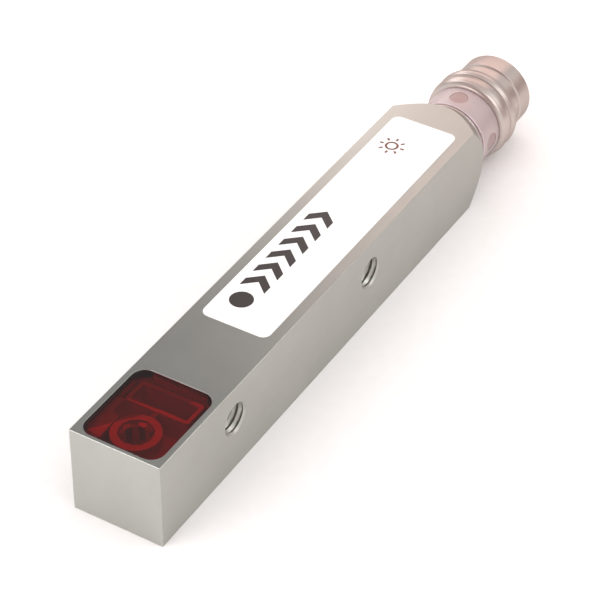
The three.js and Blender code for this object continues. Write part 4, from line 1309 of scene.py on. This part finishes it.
class SENSOR_OT_contacts(bpy.types.Operator):
    """Make the contact carrier and its gold pins"""

    bl_idname = "sensor.contacts"
    bl_label = "Contacts"

    def execute(self, context):
        s = context.scene.sensor_plug
        pin_r = (PIN_HIGH.y - PIN_LOW.y) / 2
        circle_r = (PIN_LOW.z + PIN_HIGH.z) / 2 - AXIS_Z
        self.carrier(s.socket_radius - 0.05 * MM, pin_r, circle_r)
        self.pins(pin_r, circle_r)
        return {"FINISHED"}

    def carrier(self, socket_r, pin_r, circle_r):
        """The moulded puck that fills the socket, with a raised rim, a key and an island around each pin."""
        back, face = CONTACT_LOW.x, CONTACT_LOW.x + 1.7 * MM
        rim_width, rim_slope, rim_height = 0.45 * MM, 0.05 * MM, 0.12 * MM
        corners = [
            (back, 0, 0),
            (back, socket_r, 0.05 * MM),
            (face, socket_r, 0.12 * MM),
            (face, socket_r - rim_width, 0.04 * MM),
            (face - rim_height, socket_r - rim_width - rim_slope, 0.04 * MM),
            (face - rim_height, 0, 0),
        ]
        puck = turned("contact_body", rounded_outline(corners), 128, (0, AXIS_Z))
        root = face - 0.3 * MM
        key_half, key_height = 0.45 * MM, 0.35 * MM
        key_z = AXIS_Z - math.sqrt(socket_r**2 - key_half**2) + SINK
        key_zs = (key_z, key_z + key_height)
        key = slab("key", (root, CONTACT_HIGH.x), (-key_half, key_half), key_zs, 0.1 * MM, 0, 0.05 * MM, steps=4)
        holes = []
        islands = []
        for i in range(3):
            turn = QUARTER_TURN + i * FULL_TURN / 3
            centre = (circle_r * math.cos(turn), AXIS_Z + circle_r * math.sin(turn))
            holes.append(rod("pin_hole", (back - OVERCUT, face + OVERCUT), pin_r + FIT, 48, centre))
            islands.append(rod("island", (root, face), pin_r + 0.25 * MM, 48, centre))
        carve(puck, *add(key, *islands), *cut(*holes))
        finished(shade(puck), "Contact Moulding", ["contact_carrier"])

    def pins(self, pin_r, circle_r):
        """Three gold pins with rounded tips and thinner tails."""
        tail_r = 0.35 * MM
        tip = PIN_HIGH.x
        corners = [
            (PIN_LOW.x, 0, 0),
            (PIN_LOW.x, tail_r, 0.08 * MM),
            (CONTACT_LOW.x, tail_r, 0),
            (CONTACT_LOW.x, pin_r, 0.02 * MM),
            (tip - pin_r * 0.9, pin_r, 0.1 * MM),
            (tip - pin_r * 0.25, pin_r * 0.72, 0.15 * MM),
            (tip, pin_r * 0.3, 0.08 * MM),
            (tip, 0, 0),
        ]
        pin_y = (PIN_LOW.y + PIN_HIGH.y) / 2
        pin = turned("pin", rounded_outline(corners), 48, (pin_y, circle_r))
        pins = ring_of("contact_pins", pin, 3, (1.0, 0.0, 0.0), (0.0, 0.0, AXIS_Z), "Gold Plate")
        finished(shade(pins), None, ["contact_pin_1", "contact_pin_3", "contact_pin_4"])


class SENSOR_OT_label(bpy.types.Operator):
    """Make the label film and the plain signs printed on it"""

    bl_idname = "sensor.label"
    bl_label = "Label"

    def execute(self, context):
        s = context.scene.sensor_print
        top = LABEL_HIGH.z - s.ink
        xs, ys, _ = spans(LABEL_LOW, LABEL_HIGH)
        film = slab("label_film", xs, ys, (LABEL_LOW.z, top), s.film_corner, 0, s.film_edge, steps=10)
        finished(shade(film), "Label Film", ["label"])
        zs = (top - s.ink, LABEL_HIGH.z)
        self.beam_sign(s, zs)
        self.lamp_sign(s, zs)
        return {"FINISHED"}

    def disc(self, name, centre, radii, zs, segments):
        """A flat ring or disc of ink, from an inner to an outer radius."""
        section = [(zs[0], radii[0]), (zs[0], radii[1]), (zs[1], radii[1]), (zs[1], radii[0])]
        return turned(name, section, segments, centre, upright=True)

    def beam_sign(self, s, zs):
        """A dot that sends out a row of arrows."""
        half = s.beam_height / 2
        point = half * 0.9
        loop = [(0, -half), (s.arrow_stroke, -half), (s.arrow_stroke + point, 0), (s.arrow_stroke, half)]
        loop += [(0, half), (point, 0)]
        arrow = loft("arrow", [[(x, y, z) for x, y in loop] for z in zs])
        start_x = FRONT_X + s.beam_inset
        start = (start_x + s.first_arrow, s.beam_centre, 0.0)
        arrows = row_of("beam_arrows", arrow, s.arrows, s.arrow_pitch, "Dark Ink", start)
        finished(arrows, None)
        dot_r = half * 0.86
        dot = self.disc("beam_dot", (start_x + dot_r, s.beam_centre), (0, dot_r), zs, 64)
        finished(dot, "Dark Ink")

    def lamp_sign(self, s, zs):
        """A ring with short rays around it."""
        centre = (FRONT_X + s.lamp_inset, s.beam_centre)
        half = s.line / 2
        ring = self.disc("lamp_ring", centre, (s.lamp_radius - half, s.lamp_radius + half), zs, 48)
        finished(ring, "Brown Ink")
        ray = box("ray", (s.lamp_radius * 1.6, -half, zs[0]), (s.beam_height / 2, half, zs[1]))
        rays = ring_of("lamp_rays", ray, 8, (0.0, 0.0, 1.0), (*centre, 0.0), "Brown Ink")
        finished(rays, None)


class SENSOR_OT_inside(bpy.types.Operator):
    """Give the parts inside their finishes, and the chips their legs"""

    bl_idname = "sensor.inside"
    bl_label = "Inside"

    FINISH_OF_SLOT = {
        "black_rubber": "Seal Rubber",
        "led_plastic": "Lamp Plastic",
        "sensor_face": "Receiver Resin",
        "board_green": "Solder Mask",
        "epoxy_black": "Package Resin",
        "metal_can": "Plated Can",
        "ceramic_tan": "Capacitor Ceramic",
        "resistor_black": "Resistor Glaze",
        "amber_resin": "Potting Resin",
        "brown_pvc": "Brown Insulation",
        "blue_pvc": "Blue Insulation",
        "black_pvc": "Black Insulation",
    }

    def execute(self, context):
        for entry in frame["record"]["subparts"]:
            finish = self.FINISH_OF_SLOT.get(entry["material_slot"])
            node = frame["nodes"][entry["node"]]
            if finish and not node.hide_render:
                node.data.materials.clear()
                node.data.materials.append(bpy.data.materials[finish])
        self.end_caps()
        self.legs()
        return {"FINISHED"}

    def end_caps(self):
        """Tinned caps on the ends of the small parts, a row of copies for each kind."""
        thin = 0.015 * MM
        cap = 0.35 * MM
        for name in [f"{kind}_{i}" for kind in ("capacitor", "resistor") for i in range(1, 7)]:
            low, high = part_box(name)
            xs = (low.x - thin, low.x + cap)
            ys = (low.y - thin, high.y + thin)
            end = slab("end", xs, ys, (low.z + thin, high.z + thin), 0.06 * MM, 0, 0.05 * MM, steps=3)
            caps = row_of(f"{name}_caps", end, 2, high.x - low.x - cap + thin, "Solder Tin")
            finished(shade(caps), None)

    def legs(self):
        """Bent legs along the sides of the regulator and of the transistors: three on one side and two,
        twice as far apart, on the other."""
        inset = 0.3 * MM
        pitch = 0.95 * MM
        for name in ("voltage_regulator", "output_transistor_1", "output_transistor_2"):
            low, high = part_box(name)
            for side, y, count, step in ((-1, low.y, 3, pitch), (1, high.y, 2, 2 * pitch)):
                leg = self.leg(low.x + inset, y, side, low.z)
                legs = row_of(f"{name}_legs_{side + 2}", leg, count, step, "Solder Tin")
                finished(shade(legs), None)

    def leg(self, x, y, side, board_z):
        """One flat leg that leaves the package, bends down and lies on the board."""
        width, thick = 0.4 * MM, 0.08 * MM
        inside, out, high, solder = -0.03 * MM, 0.22 * MM, 0.4 * MM, 0.005 * MM
        profile = [(inside, high), (out * 0.5, high), (out, thick), (out * 1.6, thick)]
        profile += [(out * 1.6, solder), (out * 0.75, solder), (out * 0.3, high - thick), (inside, high - thick)]
        ends = [[(at, y + side * reach, board_z + up) for reach, up in profile] for at in (x, x + width)]
        return loft("leg", ends)


class SENSOR_OT_stage(bpy.types.Operator):
    """Make the floor, the lights and the camera"""

    bl_idname = "sensor.stage"
    bl_label = "Stage"

    def execute(self, context):
        s = context.scene.sensor_stage
        self.floor()
        self.sky(context.scene, s)
        floor_panel = self.panel("floor_panel", (-0.2, 0.05, 0.5), 0.8, s.floor_light, (1.0, 0.99, 0.97))
        floor_panel.visible_glossy = False
        self.panel("rear_panel", (0.068, 0.014, 0.046), 0.05, s.rear, ROSE)
        self.panel("glint_panel", (0.044, 0.031, 0.024), 0.02, s.glint, (1.0, 0.96, 0.96))
        self.panel("left_panel", (0.06, 0.036, 0.018), 0.024, s.left, ROSE)
        self.panel("right_panel", (0.03, -0.072, 0.075), 0.05, s.right, (1.0, 0.97, 0.95))
        self.panel("front_panel", (-0.1, 0.035, 0.05), 0.06, s.front, (1.0, 1.0, 1.0))
        self.camera(context.scene, s)
        context.scene.view_settings.view_transform = "Standard"
        return {"FINISHED"}

    def floor(self):
        finish = Finish("Pale Floor", Specular_IOR_Level=0.2)
        speckle = finish.noise(900, 3, 0.5)
        finish.tint(speckle, (0.9, 0.9, 0.9), (0.92, 0.92, 0.92))
        finish.gloss(speckle, 0.65, 0.75)
        reach = 1.5
        gap = 0.01 * MM
        floor = slab("floor", (-reach, reach), (-reach, reach), (-10 * MM, -gap), 0.1)
        floor.data.materials.append(finish.material)

    def sky(self, scene, s):
        """A white studio with three darker sides: beyond the far corner, above the optics end, and low
        beyond the plug's visible side. The last two are rose."""
        world = bpy.data.worlds.new("Studio")
        world.use_nodes = True
        studio = Nodes(world.node_tree)
        direction = studio.node("ShaderNodeTexCoord").outputs["Object"]
        far_corner = self.side(studio, direction, (0.6, 0.47, 0.65), 0.4)
        above_front = self.side(studio, direction, (-0.84, -0.04, 0.54), 0.6)
        beyond_plug = self.side(studio, direction, (0.66, -0.72, -0.2), 0.72)
        rose = studio.math("MAXIMUM", above_front, beyond_plug)
        dark = studio.math("MAXIMUM", far_corner, rose)
        background = studio.tree.nodes["Background"]
        studio.feed(background.inputs["Color"], studio.blend(rose, (1.0, 1.0, 1.0), (1.0, 0.65, 0.59)))
        studio.feed(background.inputs["Strength"], studio.spread(dark, 0, 1, s.sky, s.shade))
        scene.world = world

    def side(self, studio, direction, way, start):
        """From 0 to 1 the nearer a direction is to the way towards one side."""
        towards = studio.vector_math("DOT_PRODUCT", direction, Vector(way).normalized())
        fade = studio.spread(towards.outputs["Value"], start, 0.96)
        fade.node.interpolation_type = "SMOOTHSTEP"
        return fade

    def panel(self, name, at, size, brightness, rgb):
        """A square soft light aimed at the part."""
        light = bpy.data.lights.new(name, "AREA")
        light.shape = "SQUARE"
        light.size = size
        light.energy = brightness * math.pi * size**2
        light.color = rgb
        obj = bpy.data.objects.new(name, light)
        obj.location = at
        obj.rotation_euler = (-Vector(at)).to_track_quat("-Z", "Y").to_euler()
        obj.visible_camera = False
        bpy.context.scene.collection.objects.link(obj)
        return obj

    def camera(self, scene, s):
        """The camera, by its bearing, height angle and roll."""
        a, e = s.azimuth, s.elevation
        back = Vector((math.sin(a) * math.cos(e), -math.cos(a) * math.cos(e), math.sin(e)))
        right = Vector((0, 0, 1)).cross(back).normalized()
        up = back.cross(right)
        turned_right = math.cos(s.roll) * right + math.sin(s.roll) * up
        turned_up = math.cos(s.roll) * up - math.sin(s.roll) * right
        axes = Matrix((turned_right, turned_up, back)).transposed().to_4x4()
        data = bpy.data.cameras.new("camera")
        data.sensor_width = 36
        data.lens = s.lens
        data.clip_start = 0.005
        data.clip_end = 20
        camera = bpy.data.objects.new("camera", data)
        at = Vector((FRONT_X, 0, BAR_LOW.z)) + Vector(s.camera_place)
        camera.matrix_world = Matrix.Translation(at) @ axes
        scene.collection.objects.link(camera)
        scene.camera = camera


class SENSOR_PT_panel(bpy.types.Panel):
    """Buttons for each group of pieces, in the order they are made"""

    bl_label = "Photoelectric Sensor"
    bl_idname = "SENSOR_PT_panel"
    bl_space_type = "VIEW_3D"
    bl_region_type = "UI"
    bl_category = "Sensor"

    def draw(self, context):
        for operator in OPERATORS:
            self.layout.operator(operator.bl_idname)
        for group in GROUPS:
            box_layout = self.layout.box()
            settings = getattr(context.scene, group)
            for name in settings.bl_rna.properties.keys():
                if name not in ("rna_type", "name"):
                    box_layout.prop(settings, name)


GROUPS = {
    "sensor_bar": BarSizes,
    "sensor_thread": ThreadSizes,
    "sensor_plug": PlugSizes,
    "sensor_optics": OpticsSizes,
    "sensor_print": PrintSizes,
    "sensor_finishes": Finishes,
    "sensor_stage": StageSettings,
}
OPERATORS = (
    SENSOR_OT_finishes,
    SENSOR_OT_housing,
    SENSOR_OT_cover,
    SENSOR_OT_window,
    SENSOR_OT_optics,
    SENSOR_OT_plug,
    SENSOR_OT_lights,
    SENSOR_OT_contacts,
    SENSOR_OT_label,
    SENSOR_OT_inside,
    SENSOR_OT_stage,
)


def register():
    for cls in (*GROUPS.values(), *OPERATORS, SENSOR_PT_panel):
        bpy.utils.register_class(cls)
    for name, cls in GROUPS.items():
        setattr(bpy.types.Scene, name, PointerProperty(type=cls))


def unregister():
    for name in GROUPS:
        delattr(bpy.types.Scene, name)
    for cls in reversed((*GROUPS.values(), *OPERATORS, SENSOR_PT_panel)):
        bpy.utils.unregister_class(cls)


def main():
    register()
    bpy.ops.sensor.finishes()
    bpy.ops.sensor.housing()
    bpy.ops.sensor.cover()
    bpy.ops.sensor.window()
    bpy.ops.sensor.optics()
    bpy.ops.sensor.plug()
    bpy.ops.sensor.lights()
    bpy.ops.sensor.contacts()
    bpy.ops.sensor.label()
    bpy.ops.sensor.inside()
    bpy.ops.sensor.stage()


if __name__ == "__main__":
    main()
